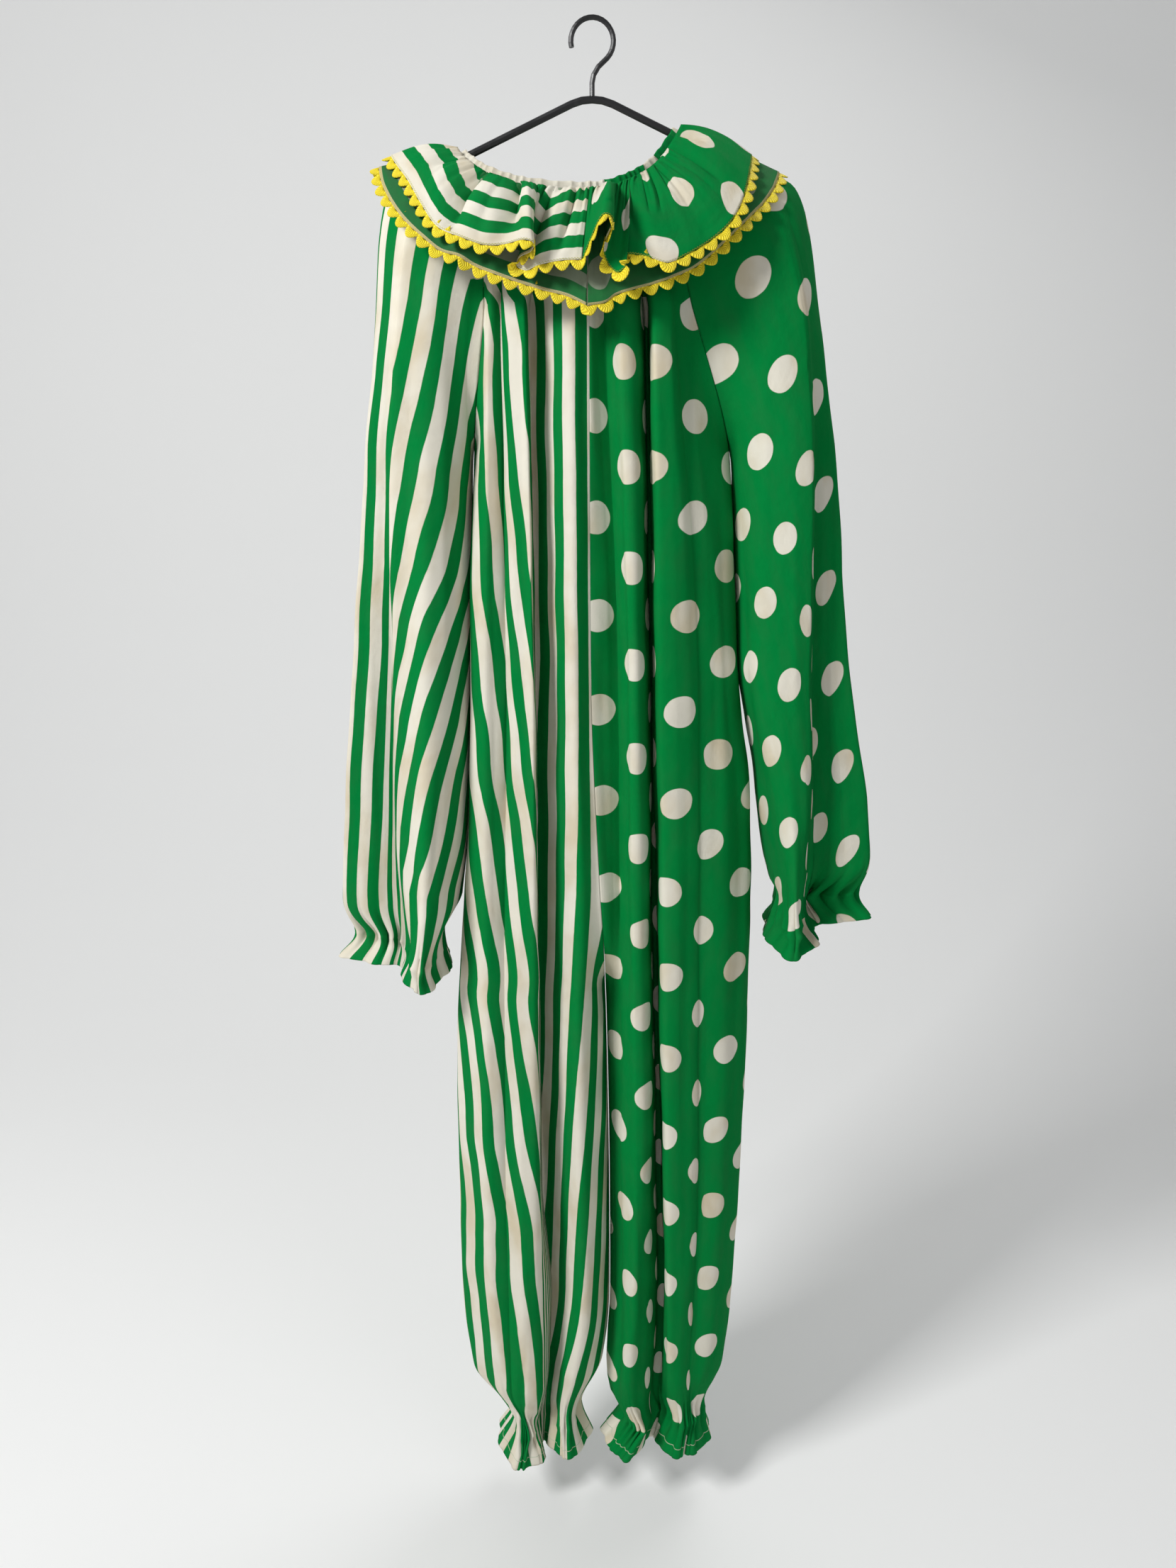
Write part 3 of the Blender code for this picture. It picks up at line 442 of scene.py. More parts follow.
# Folds of the fronts, from the side to the centre: x at FOLD_X_HEIGHTS, depth at FOLD_DEPTH_HEIGHTS, and how
# much lower than the side its leg end hangs.
Fold = namedtuple("Fold", "name x depth drop")
FRONT_RIGHT = rows_of(
    Fold,
    ("outer ridge", (-101, -114, -121, -125, -122, -113, -92, -100), (38, 46, 58, 50, 27, 44), 14),
    ("outer hollow", (-90, -90, -96, -99, -98, -97, -84, -86), (30, 38, 56, 52, 31, 48), 16),
    ("inner ridge", (-74, -68, -69, -71, -70, -72, -75, -70), (50, 58, 64, 54, 26, 42), 14),
    ("deep pleat", (-60, -58, -57, -55, -47, -50, -57, -57), (14, 10, 8, 8, 5, 12), 6),
    ("centre ridge", (-24, -21, -15, -12, -10, -21, -33, -32), (56, 60, 58, 48, 34, 50), 0),
)
FRONT_LEFT = rows_of(
    Fold,
    ("outer ridge", (89, 139, 154, 156, 152, 144, 133, 136), (34, 38, 38, 34, 18, 36), -2),
    ("outer hollow", (79, 111, 118, 124, 121, 119, 120, 116), (46, 50, 46, 42, 28, 48), -4),
    ("middle ridge", (66, 77, 86, 94, 98, 100, 104, 98), (58, 62, 58, 50, 32, 48), -4),
    ("deep pleat", (52, 62, 70, 79, 84, 82, 76, 76), (14, 10, 8, 8, 5, 12), 0),
    ("centre ridge", (30, 42, 49, 56, 56, 52, 52, 44), (60, 64, 58, 50, 34, 50), 2),
    ("tuck", (11, 28, 32, 36, 38, 36, 34, 26), (40, 38, 38, 42, 28, 34), 0),
)
# Folds of the backs: the share of the way from the side to the centre, and the depth.
BACK_FOLDS = rows_of(
    Fold,
    ("outer ridge", 0.18, (34, 40, 46, 40, 22, 38), 0), ("hollow", 0.4, (27, 28, 24, 20, 9, 20), 0),
    ("inner ridge", 0.62, (40, 46, 48, 42, 28, 42), 0), ("inner hollow", 0.82, (34, 38, 34, 30, 20, 30), 0),
)

# Creases in a panel: its place in folds from the side, the heights where it starts and ends, how far it leans
# across on the way, how wide it is, and how far it stands out (or in, if less than nothing).
Crease = namedtuple("Crease", "place top bottom lean width out")
CREASE_EVEN = 0.7  # under 1, so a crease keeps its height along most of its length
CREASES_FRONT_RIGHT = rows_of(
    Crease,
    (0.55, -420, -900, 6, 7, 1.6), (0.8, -960, -1480, -8, 8, -1.8), (1.5, -700, -1330, 10, 9, 1.8),
    (2.3, -300, -760, -6, 6, -1.5), (2.5, -900, -1500, 5, 7, 1.6), (3.6, -330, -640, 4, 5, 1.4),
    (3.4, -820, -1240, -6, 6, -1.6), (4.5, -300, -700, -4, 6, -1.6), (5.4, -420, -1000, 3, 7, -1.2),
    (5.1, -1000, -1500, 8, 8, 1.8), (1.2, -1380, -1545, 12, 6, -2.2), (2.6, -1400, -1545, -9, 6, -2.2),
    (4.7, -1390, -1545, 10, 6, 2.2),
)
CREASES_FRONT_LEFT = rows_of(
    Crease,
    (0.5, -620, -1020, 5, 7, 1.5), (0.6, -1100, -1500, -7, 8, -1.8), (1.4, -430, -860, 9, 8, -1.7),
    (2.4, -300, -780, -7, 7, 1.7), (2.6, -900, -1420, 8, 8, -1.6), (3.5, -340, -900, 4, 6, 1.5),
    (4.6, -300, -660, -5, 6, -1.5), (4.4, -1000, -1500, 6, 7, 1.7), (5.5, -360, -980, 4, 6, -1.4),
    (6.4, -420, -900, -3, 6, 1.2), (6.5, -1040, -1500, 6, 7, -1.5), (1.8, -1390, -1545, -9, 6, 2.2),
    (3.3, -1400, -1545, 8, 6, -2.2), (5.6, -1400, -1545, 9, 6, 2.2),
)
CREASES_BACK_RIGHT = rows_of(
    Crease,
    (0.6, -420, -1000, 7, 8, 1.6), (1.5, -300, -900, -8, 9, -1.8), (1.7, -1000, -1480, 9, 9, 1.8),
    (2.6, -330, -1100, 6, 8, -1.6), (3.5, -500, -1300, -6, 9, 1.8), (4.5, -300, -950, 4, 8, -1.4),
    (2.2, -1390, -1545, -9, 7, 2.2), (4.2, -1400, -1545, 9, 7, -2.2),
)
CREASES_BACK_LEFT = rows_of(
    Crease,
    (0.7, -500, -1180, -7, 9, 1.6), (1.4, -320, -760, 8, 8, 1.7), (1.8, -900, -1500, -9, 9, -1.8),
    (2.7, -300, -980, -6, 8, 1.6), (3.3, -640, -1420, 7, 9, -1.8), (4.4, -380, -900, -5, 8, 1.5),
    (1.9, -1390, -1545, 9, 7, -2.2), (3.8, -1400, -1545, -9, 7, 2.2),
)

# Gathers over and under the elastic: how many in a panel, how far they rise above it, and how deep they are.
Gathers = namedtuple("Gathers", "large small fade at_cuff at_hem small_depth")
FRONT_GATHERS = Gathers(6, 19, 38, 0.8, 2.6, 7.5)
BACK_GATHERS = Gathers(5, 16, 38, 0.8, 2.6, 7.5)
FRILL_LENGTH = 1.4  # of the way from the elastic to the hem: the lowest folds reach this far
UNEVEN, UNEVEN_TURNS = 0.35, 3.7  # of a small gather: how far their spacing wanders, and how often in a panel
SMALL_RISE, SMALL_FALL = 0.4, 2.2  # small gathers rise this share as far as large ones, and die out so fast below
SMALL_SHARP, SMALL_SUNK = 0.7, 1.3  # their valleys are narrow, and the cloth between them is drawn in
# The loose cloth's soft unevenness: how far it stands out, and its pairs of crossing waves. Each wave has its
# length across, its length down, and how much a piece's own turn shifts it.
RUMPLE = 0.8
RUMPLES = (
    (1, (17, 83, 1), (-60, 41, 2)),
    (0.55, (9.5, -37, 3), (math.inf, 23, 1.7)),
    (1.1, (31, 150, -1), (math.inf, 97, 1)),
)

# Valleys of the folds that close up into a narrow slit: the place, how far the cloth is drawn in on its right
# and on its left, how sharply, half the slit that is left near the top, how far it leans for each millimetre
# of depth, and the height where it starts. An edge that is drawn in hangs like a pressed one.
Pinch = namedtuple("Pinch", "place right left power slit lean top")
PINCHES_FRONT_RIGHT = rows_of(
    Pinch,
    (0, 1, 16, 2, 0, 0, -420), (2, 13, 13, 2.2, 0, 0, 0), (4, 24, 1, 2.6, 0, -0.07, 0),
)
PINCHES_FRONT_LEFT = rows_of(
    Pinch,
    (0, 16, 1, 2, 0, 0, -420), (2, 14, 14, 1.6, 0, 0, 0), (4, 24, 24, 3, 2.3, 0.04, 0), (6, 8, 8, 1.8, 0, 0, 0),
)
PINCHES_BACK = (Pinch(0, 16, 16, 2, 0, 0, -420), Pinch(2, 22, 22, 1.8, 0, 0, 0), Pinch(4, 16, 16, 1.6, 0, 0, 0))
PINCH_RUN = 60  # below its start a pinch closes over this height
LEAN_WITHIN = 0.95  # of a fold on either side of the valley leans with it
SLIT_HEIGHTS, SLIT_OPENS = (-1400, -700), (2, 1)  # how many times its width a slit is, low down and high up
SLIT_LIP = 2  # millimetres over which the cloth turns in to the slit

# Each bulge of a leg is drawn in at the elastic: where some of its places go there.
Waist = namedtuple("Waist", "places across")
WAIST_FRONT_RIGHT = Waist((0, 3.5, 4, 4.5, 6), (-96, -70, -56, -42, -13))
WAIST_BACK_RIGHT = Waist((0, 2.4, 2.6, 5), (-96, -60, -52, -13))
WAIST_FRONT_LEFT = Waist((0, 3.5, 4, 4.5, 7), (143, 103, 87, 71, 39))
WAIST_BACK_LEFT = Waist((0, 2.4, 2.6, 5), (143, 95, 85, 39))
WAIST_ABOVE = (0, 6, 14, 26, 45, 70)  # the elastic, and how much is left of the drawing in at each
WAIST_LEFT = (1, 0.88, 0.58, 0.28, 0.09, 0)
WAIST_DEEP = 0.25  # how much deeper the cloth hangs there, as it can't spread sideways

# How far the print slips across the cloth, towards the side, because the panel flares and its folds aren't all
# as deep as they look: the place in folds from the side, and the slip at each of these heights.
SLIP_HEIGHTS = (-260, -430, -620, -860, -1050, -1300, -1605)
Slip = namedtuple("Slip", "place far")
NO_SLIP = (0,) * len(SLIP_HEIGHTS)
SLIPS_FRONT_RIGHT = rows_of(
    Slip,
    (0, (-19, -23, -23, -11, 18, 41, 104)), (1, (-18, -21, -14, 7, 27, 50, 110)),
    (2, (-19, -21, -11, 10, 27, 55, 116)), (2.6, (-31, -30, -16, 8, 22, 60, 122)),
    (3.2, (-29, -26, -15, 9, 25, 62, 123)), (3.9, (-4, -9, -17, -30, -39, -56, -80)),
    (5, (0, -2, -2, -13, -26, -48, -75)), (6, (0, 0, 0, -6, -14, -44, -70)),
)
SLIPS_FRONT_LEFT = rows_of(
    Slip,
    (0, (1, -10, -2, 26, 53, 83, 110)), (1.7, (-3, -11, 2, 28, 53, 81, 106)), (2.3, (-3, -9, -2, 21, 29, 42, 68)),
    (3.9, (10, 8, 9, 25, 31, 37, 59)), (4.3, (23, 16, 12, 16, 20, 24, 34)), (4.7, (15, 2, -7, -9, -12, -22, -36)),
    (6, (5, 2, -5, -5, -6, -34, -52)), (7, (0, 0, 0, 0, 0, -20, -35)),
)
SLIPS_BACK = (Slip(0, NO_SLIP), Slip(5, NO_SLIP))
WALL, SEAM = 1.2, 0.3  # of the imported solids
SNUG = 6  # pieces that hang less than this apart touch here
SEAM_CALM = 0.35  # of the way from a seam to the next fold: creases fade out over it
GATHERED_AT_SEAM = 0.3  # the share of the gathers' depth that is left at the seam itself
HEM_TURN = 11  # from a hem's edge up to its stitches


def blend(stops, values, at):
    """The value at a place among rising stops, on a curve that doesn't overshoot the values."""
    if at <= stops[0]:
        return values[0]
    if at >= stops[-1]:
        return values[-1]
    last = len(stops) - 1
    steps = [stops[i + 1] - stops[i] for i in range(last)]
    rises = [(values[i + 1] - values[i]) / steps[i] for i in range(last)]

    def slope(i):
        if i in (0, last):
            return rises[0 if i == 0 else -1]
        before, after = rises[i - 1], rises[i]
        return 0 if before * after <= 0 else 2 * before * after / (before + after)

    i = max(k for k in range(last) if stops[k] <= at)
    near, far, leave, arrive = hermite((at - stops[i]) / steps[i])
    return near * values[i] + far * values[i + 1] + steps[i] * (leave * slope(i) + arrive * slope(i + 1))


def drape(heights, values, z):
    """The value at height z from a table whose heights go down."""
    return blend([-height for height in heights], values, -z)


def edge_at(edge, z):
    """The place, spread and depth of a seam at a height, and the sine of its turn towards the wearer's middle."""
    heights, *columns = zip(*edge)
    x, apart, depth = (drape(heights, column, z) for column in columns)
    return x, apart, depth, 1 - depth / edge[0].depth


def fold_row(z, side, folds, is_front, toward, at):
    """One row of a panel at a height, from the side seam to the centre seam."""
    x, _, depth, turn = edge_at(side, z)
    facing, share = (-1, 1) if is_front else (1, BACK_SHARE)
    centre_x, apart, centre_depth, centre_turn = edge_at(CENTRE, z)
    centre_x -= toward * (SEAM + WALL * centre_turn + max(0, apart - SNUG)) / 2
    points = [(x, facing * max(depth * share, SEAM / 2), z)]
    for fold in folds:
        fold_x = drape(FOLD_X_HEIGHTS, fold.x, z) if is_front else x + (centre_x - x) * fold.x
        points.append((fold_x, facing * drape(FOLD_DEPTH_HEIGHTS, fold.depth, z), z))
    points.append((centre_x, facing * max(centre_depth * share, SEAM / 2), z))
    start = (toward * math.sqrt(max(0, 1 - turn * turn)), facing * turn, 0)
    end = (toward * math.sqrt(max(0, 1 - centre_turn * centre_turn)), -facing * centre_turn, 0)
    return through(points, at, start, end)


def outward_of(points, facing):
    """The way out of a grid of points, level, on the side that facing says."""
    along = np.gradient(points, axis=1)
    across = np.stack([along[..., 1], -along[..., 0], 0 * along[..., 0]], axis=2)
    return unit(across) * facing


def gather_lift(gathers, above_cuff, cuff_to_hem, share):
    """How far gathered cloth stands off its plain surface: nothing well above the elastic, most at the hem."""
    above = np.clip(1 - above_cuff / gathers.fade, 0, 1) ** 2 * (above_cuff > 0)
    below = np.clip(-above_cuff / cuff_to_hem, 0, FRILL_LENGTH)
    flared = gathers.at_cuff + (gathers.at_hem - gathers.at_cuff) * below
    size = np.where(above_cuff > 0, gathers.at_cuff * above, flared)
    large = size * np.sin(2 * math.pi * gathers.large * share)
    ripple = 2 * math.pi * (gathers.small * share + UNEVEN * np.sin(2 * math.pi * UNEVEN_TURNS * share))
    reach = np.exp(-np.maximum(above_cuff, 0) / (SMALL_RISE * gathers.fade)) * np.exp(-SMALL_FALL * below)
    return large + gathers.small_depth * reach * (np.abs(np.sin(ripple / 2)) ** SMALL_SHARP * 2 - SMALL_SUNK)


def pinched(points, pinches, at):
    """The rows of points with the cloth drawn in towards its valleys."""
    points = points.copy()
    for pinch in pinches:
        column = int(np.argmin(abs(at - pinch.place)))
        away = points[..., 0] - points[:, column, 0][:, None]
        reach = np.where(away < 0, pinch.right, pinch.left)
        slit = pinch.slit * np.interp(points[..., 2], SLIT_HEIGHTS, SLIT_OPENS)
        drawn = slit * np.minimum(1, abs(away) / SLIT_LIP) + (reach - slit) * (abs(away) / reach) ** pinch.power
        inside = abs(away) < reach
        share = np.clip((pinch.top - points[..., 2]) / PINCH_RUN, 0, 1)
        points[..., 0] += np.where(inside, np.sign(away) * drawn - away, 0) * share
        deep = np.maximum(0, abs(points[:, column + COLUMNS_EACH, 1])[:, None] - abs(points[..., 1]))
        points[..., 0] += np.where(abs(at - pinch.place) < LEAN_WITHIN, pinch.lean * deep, 0)
    return points


def waisted(points, waist, at, pull):
    """The rows of points drawn in at the elastic, where pull is 1, and flaring again under it."""
    points = points.copy()
    moved = np.interp(at, waist.places, waist.across) - points[int(np.argmax(pull)), :, 0]
    points[..., 0] += moved * pull[:, None]
    points[..., 1] *= 1 + WAIST_DEEP * pull[:, None]
    return points


def crease_lift(creases, across, heights, at):
    """How far the creases stand out at each point."""
    lift = np.zeros_like(across)
    for crease in creases:
        column = int(np.argmin(abs(at - crease.place)))
        down = np.clip((crease.top - heights) / (crease.top - crease.bottom), 0, 1)
        strength = np.sin(math.pi * down) ** CREASE_EVEN * (down > 0) * (down < 1)
        middle = across[:, column:column + 1] + crease.lean * (down - 0.5)
        lift += crease.out * strength * np.exp(-((across - middle) / crease.width) ** 2)
    return lift


def rumple_lift(across, heights, turn):
    """The loose cloth's soft unevenness, never the same on two pieces."""
    lift = 0
    for share, *waves in RUMPLES:
        first, second = (np.sin(across / wide + heights / high + shift * turn) for wide, high, shift in waves)
        lift = lift + share * (first * second)
    return RUMPLE * lift


def rumpled(points, out, at, across, creases, turn, hang, gathered):
    """The points moved out by their creases, their unevenness and their gathers, which all fade near a seam."""
    heights = points[..., 2]
    near_seam = np.clip(np.minimum(at, at[-1] - at) / SEAM_CALM, 0, 1)
    lift = crease_lift(creases, across, heights, at) + rumple_lift(across, heights, turn) * hang
    lift = lift * near_seam + gathered * np.clip(near_seam + GATHERED_AT_SEAM, 0, 1)
    return points + out * lift[..., None]


def level_arc(points, from_column):
    """Each point's distance along its row from one column, measured level."""
    steps = np.hypot(np.diff(points[..., 0], axis=1), np.diff(points[..., 1], axis=1))
    arc = np.concatenate([np.zeros((len(points), 1)), np.cumsum(steps, axis=1)], axis=1)
    return arc - arc[:, from_column][:, None]


def slip_of(slips, places, heights):
    """How far the print has slipped at each point."""
    by_height = [[drape(SLIP_HEIGHTS[:len(slip.far)], slip.far, z) for slip in slips] for z in heights]
    stops = [slip.place for slip in slips]
    return np.array([np.interp(places, stops, row) for row in by_height])


def body_panel(part, half, side, folds, gathers, pinches, waist, creases, slips, print_of):
    """A front or a back, from its side seam to its centre seam and from the neck to the ankle's hem."""
    name, toward, is_front = f"{part}_{half.cloth}", half.toward, part == "front"
    spans = len(folds) + 1
    at = np.linspace(0, spans, spans * COLUMNS_EACH + 1)
    loose, tight = np.arange(CHEST_Z, GATHER_Z, -BODY_STEP), np.arange(GATHER_Z, HEM_Z, -GATHER_STEP)
    levels = np.concatenate([loose, tight, [HEM_Z]])
    body = pinched(np.array([fold_row(z, side, folds, is_front, toward, at) for z in levels]), pinches, at)
    pull = np.interp(levels - CUFF_Z, (HEM_Z - CUFF_Z,) + WAIST_ABOVE, (0,) + WAIST_LEFT)
    body = waisted(body, waist, at, pull)
    neck_ends = (2, NECK_TRIM) if is_front else (4, 6 - NECK_TRIM)
    point, down, _ = neck_row(half, *neck_ends, at / spans)
    top = point + down * (BAND_HIGH + SEAM)
    fall = np.arange(NECK_STEPS)[:, None, None] / NECK_STEPS
    points = np.concatenate([top + (body[0] - top) * fall, body])
    heights = points[..., 2].copy()
    facing = (1 if is_front else -1) * toward
    out = outward_of(points, facing)
    hang = np.interp(heights, (NECK_CALM_Z, CHEST_Z), (1, 0)) * np.interp(heights, (CUFF_Z, CUFF_Z + CUFF_CALM), (0, 1))
    gathered = gather_lift(gathers, heights - CUFF_Z, CUFF_Z - HEM_Z, at / spans)
    points = rumpled(points, out, at, level_arc(points, -1), creases, len(name), hang, gathered)
    drops = through([(0, 0)] + [(fold.drop, 0) for fold in folds] + [(0, 0)], at)[:, 0]
    points[..., 2] -= drops * np.clip((DROP_Z - heights) / (DROP_Z - CUFF_Z), 0, 1)
    ridge = (spans - 1) * COLUMNS_EACH
    from_middle = -level_arc(points, -1)[:, ridge]
    seam_row = int(np.argmin(abs(heights[:, ridge] - FORK_Z)))
    from_middle[seam_row:] = from_middle[seam_row]
    across = from_middle[:, None] - level_arc(points, ridge) + slip_of(slips, at, heights.mean(axis=1))
    below = int(np.argmax(heights[:, 0] < GATHER_Z))
    across[below:] = across[below]
    panel = cut_cloth(name, points, across, -heights, print_of, turned=facing < 0)
    lay_flat(panel, part, half)


CENTRE_EDGE = 2.5 * MM  # of a white stripe shows along the striped front's middle
HEM_STITCHES = -(HEM_Z + HEM_TURN) * MM
striped_front = striped_cotton("striped cotton, front", CENTRE_EDGE, stitches=HEM_STITCHES)
striped_back = striped_cotton("striped cotton, back", CENTRE_EDGE, stitches=HEM_STITCHES)
FRONT_DOT, BACK_DOT = (8 * MM, 366 * MM), (30 * MM, 390 * MM)  # a dot's centre on each flat panel
dotted_front = dotted_cotton("dotted cotton, front", *FRONT_DOT, stitches=HEM_STITCHES)
dotted_back = dotted_cotton("dotted cotton, back", *BACK_DOT, stitches=HEM_STITCHES)
body_panel(
    "front", STRIPED, SIDE_RIGHT, FRONT_RIGHT, FRONT_GATHERS, PINCHES_FRONT_RIGHT, WAIST_FRONT_RIGHT,
    CREASES_FRONT_RIGHT, SLIPS_FRONT_RIGHT, striped_front,
)
body_panel(
    "front", DOTTED, SIDE_LEFT, FRONT_LEFT, FRONT_GATHERS, PINCHES_FRONT_LEFT, WAIST_FRONT_LEFT,
    CREASES_FRONT_LEFT, SLIPS_FRONT_LEFT, dotted_front,
)
body_panel(
    "back", STRIPED, SIDE_RIGHT, BACK_FOLDS, BACK_GATHERS, PINCHES_BACK, WAIST_BACK_RIGHT,
    CREASES_BACK_RIGHT, SLIPS_BACK, striped_back,
)
body_panel(
    "back", DOTTED, SIDE_LEFT, BACK_FOLDS, BACK_GATHERS, PINCHES_BACK, WAIST_BACK_LEFT,
    CREASES_BACK_LEFT, SLIPS_BACK, dotted_back,
)


# The sleeves. Raglan sleeves, each one length of cloth from the neck to the wrist: the striped one on the
# wearer's right and the dotted one on the left. They pass over the hanger's arms, hang straight down beside
# the body, fold into a few long pleats and are gathered by elastic above the hem.
# Each station has its height at the seam and at the shoulder or outer edge. Each fold, from the seam outwards,
# has its x and its depth at every station, and how much lower its end hangs.
Station = namedtuple("Station", "name seam_z outer_z")
SLEEVE_ROWS = (1, 1, 3, 2, 2, 1, 1, 2)  # rows of cloth between one station and the next
CROWN_ROUND = 1.6  # how round the sleeve passes over the hanger
STATIONS_RIGHT = rows_of(
    Station,
    ("shoulder", -200, -130), ("tip", -260, -148), ("upper arm", -405, -335), ("elbow", -620, -620),
    ("forearm", -800, -800), ("wrist", -880, -880), ("cuff", -938, -920), ("hem", -966, -948),
)
STATIONS_LEFT = rows_of(
    Station,
    ("shoulder", -200, -130), ("tip", -260, -148), ("upper arm", -405, -335), ("elbow", -620, -620),
    ("forearm", -760, -760), ("wrist", -835, -835), ("cuff", -899, -873), ("hem", -926, -900),
)
SLEEVE_RIGHT = rows_of(
    Fold,
    ("inner front", (-112, -124, -134, -142, -148, -155, -172, -168), (36, 36, 30, 42, 48, 49, 42, 48), 9),
    ("front ridge", (-126, -150, -162, -172, -178, -180, -185, -189), (35, 40, 50, 62, 72, 75, 62, 68), 16),
    ("split", (-140, -175, -200, -211, -214, -210, -206, -213), (28, 33, 38, 32, 32, 32, 26, 38), 2),
    ("outer front", (-152, -192, -218, -237, -249, -254, -240, -252), (15, 18, 22, 32, 35, 34, 22, 36), 0),
    ("outer edge", (-160, -200, -225, -253, -271, -277, -267, -286), (0, 0, 6, 22, 24, 22, 10, 14), 0),
)
SLEEVE_LEFT = rows_of(
    Fold,
    ("inner front", (100, 122, 158, 168, 192, 204, 209, 200), (36, 36, 32, 44, 50, 50, 42, 48), 10),
    ("front ridge", (122, 150, 187, 192, 209, 215, 219, 222), (35, 40, 48, 60, 70, 72, 58, 66), 20),
    ("fold edge", (140, 177, 212, 221, 228, 232, 236, 246), (28, 34, 48, 60, 62, 56, 30, 50), 12),
    ("split", (147, 185, 221, 231, 239, 246, 250, 256), (21, 26, 36, 38, 38, 34, 16, 32), 2),
    ("outer front", (153, 193, 233, 256, 278, 289, 276, 291), (14, 18, 24, 33, 38, 37, 22, 36), 0),
    ("outer edge", (160, 200, 240, 272, 299, 308, 302, 315), (0, 0, 6, 24, 27, 25, 12, 18), 0),
)
RAGLAN_ROWS = (2, 3, 4, 5)  # rows of the raglan seam, and their heights on the body
RAGLAN_HEIGHTS = (-260, -310, -360, -405)
SLEEVE_STEPS = (7, 6, 20, 30, 26, 16, 16, 17)  # rows of points between one station and the next
SLEEVE_GATHERS = Gathers(9, 27, 38, 0.8, 2.6, 9)
SLEEVE_PULL = (0, 0.3, 1, 0.4)  # how far the elastic draws the sleeve in, at its last four stations
PRINT_STOPS = 0.3  # of a row above the wrist's station: the print's slip doesn't change below
CREASES_SLEEVE_RIGHT = rows_of(
    Crease,
    (0.7, -420, -700, 9, 7, -1.5), (1.5, -300, -640, -9, 7, 1.6), (1.6, -700, -880, 8, 6, -1.7),
    (2.5, -520, -840, 6, 6, 1.5), (3.4, -300, -560, 7, 6, -1.5), (3.7, -600, -870, -6, 6, 1.5),
    (4.4, -260, -500, 6, 7, 1.4), (5.6, -380, -800, -7, 8, 1.6), (6.7, -300, -700, 8, 8, -1.6),
    (7.8, -420, -880, -8, 8, 1.6), (8.8, -460, -860, 8, 8, -1.5),
)
CREASES_SLEEVE_LEFT = rows_of(
    Crease,
    (0.7, -440, -760, 8, 7, -1.5), (1.5, -300, -560, -9, 7, 1.6), (1.6, -620, -840, 9, 7, -1.7),
    (2.6, -420, -800, 7, 6, 1.5), (3.5, -300, -560, 7, 6, -1.4), (4.6, -380, -700, -7, 6, 1.5),
    (5.4, -260, -520, 6, 7, 1.4), (6.6, -380, -800, -7, 8, 1.6), (7.8, -300, -700, 8, 8, -1.6),
    (9.1, -420, -820, -8, 8, 1.6), (10.6, -460, -820, 8, 8, -1.5),
)
PINCHES_SLEEVE_RIGHT = rows_of(
    Pinch,
    (3, 3, 18, 2.2, 0, 0, 0), (5, 1, 11, 2, 0, 0, -330), (7, 18, 18, 1.8, 0, 0, 0),
)
PINCHES_SLEEVE_LEFT = rows_of(
    Pinch,
    (3, 9, 9, 1.8, 0, 0, 0), (4, 12, 3, 1.8, 0, 0, 0), (6, 11, 1, 2, 0, 0, -330), (8, 16, 16, 1.8, 0, 0, 0),
)
WAIST_SLEEVE_RIGHT = Waist((0, 2.5, 3, 3.5, 5, 10), (-169, -195, -209, -226, -266, -169))
WAIST_SLEEVE_LEFT = Waist((0, 3.4, 4, 4.6, 6, 12), (207, 232, 238, 243, 298, 207))
SLIPS_SLEEVE_RIGHT = rows_of(
    Slip,
    (0, (10, 8, 34, 68)), (1, (5, 9, 44, 80)), (2, (-2, 15, 52, 84)), (2.6, (-1, 21, 55, 91)),
    (3.4, (8, 21, 19, 21)), (5, (2, 9, 15, 14)), (10, (0, 0, 0, 0)),
)
SLIPS_SLEEVE_LEFT = rows_of(
    Slip,
    (0, (-18, -47, -102, -124)), (1.6, (-13, -42, -95, -121)), (2.7, (-10, -32, -89, -116)),
    (3.5, (-4, -15, -35, -39)), (4.3, (-2, -13, -23, -27)), (4.8, (-2, -7, -10, -1)), (6, (-2, -7, -12, -4)),
    (12, (0, 0, 0, 0)),
)
DOTS_LEAN = 0.72  # how far the dotted sleeve's print slopes down towards its outer edge
TAKE_UP = 1.05  # a sleeve's cloth is this much longer than it hangs: its creases take up the rest


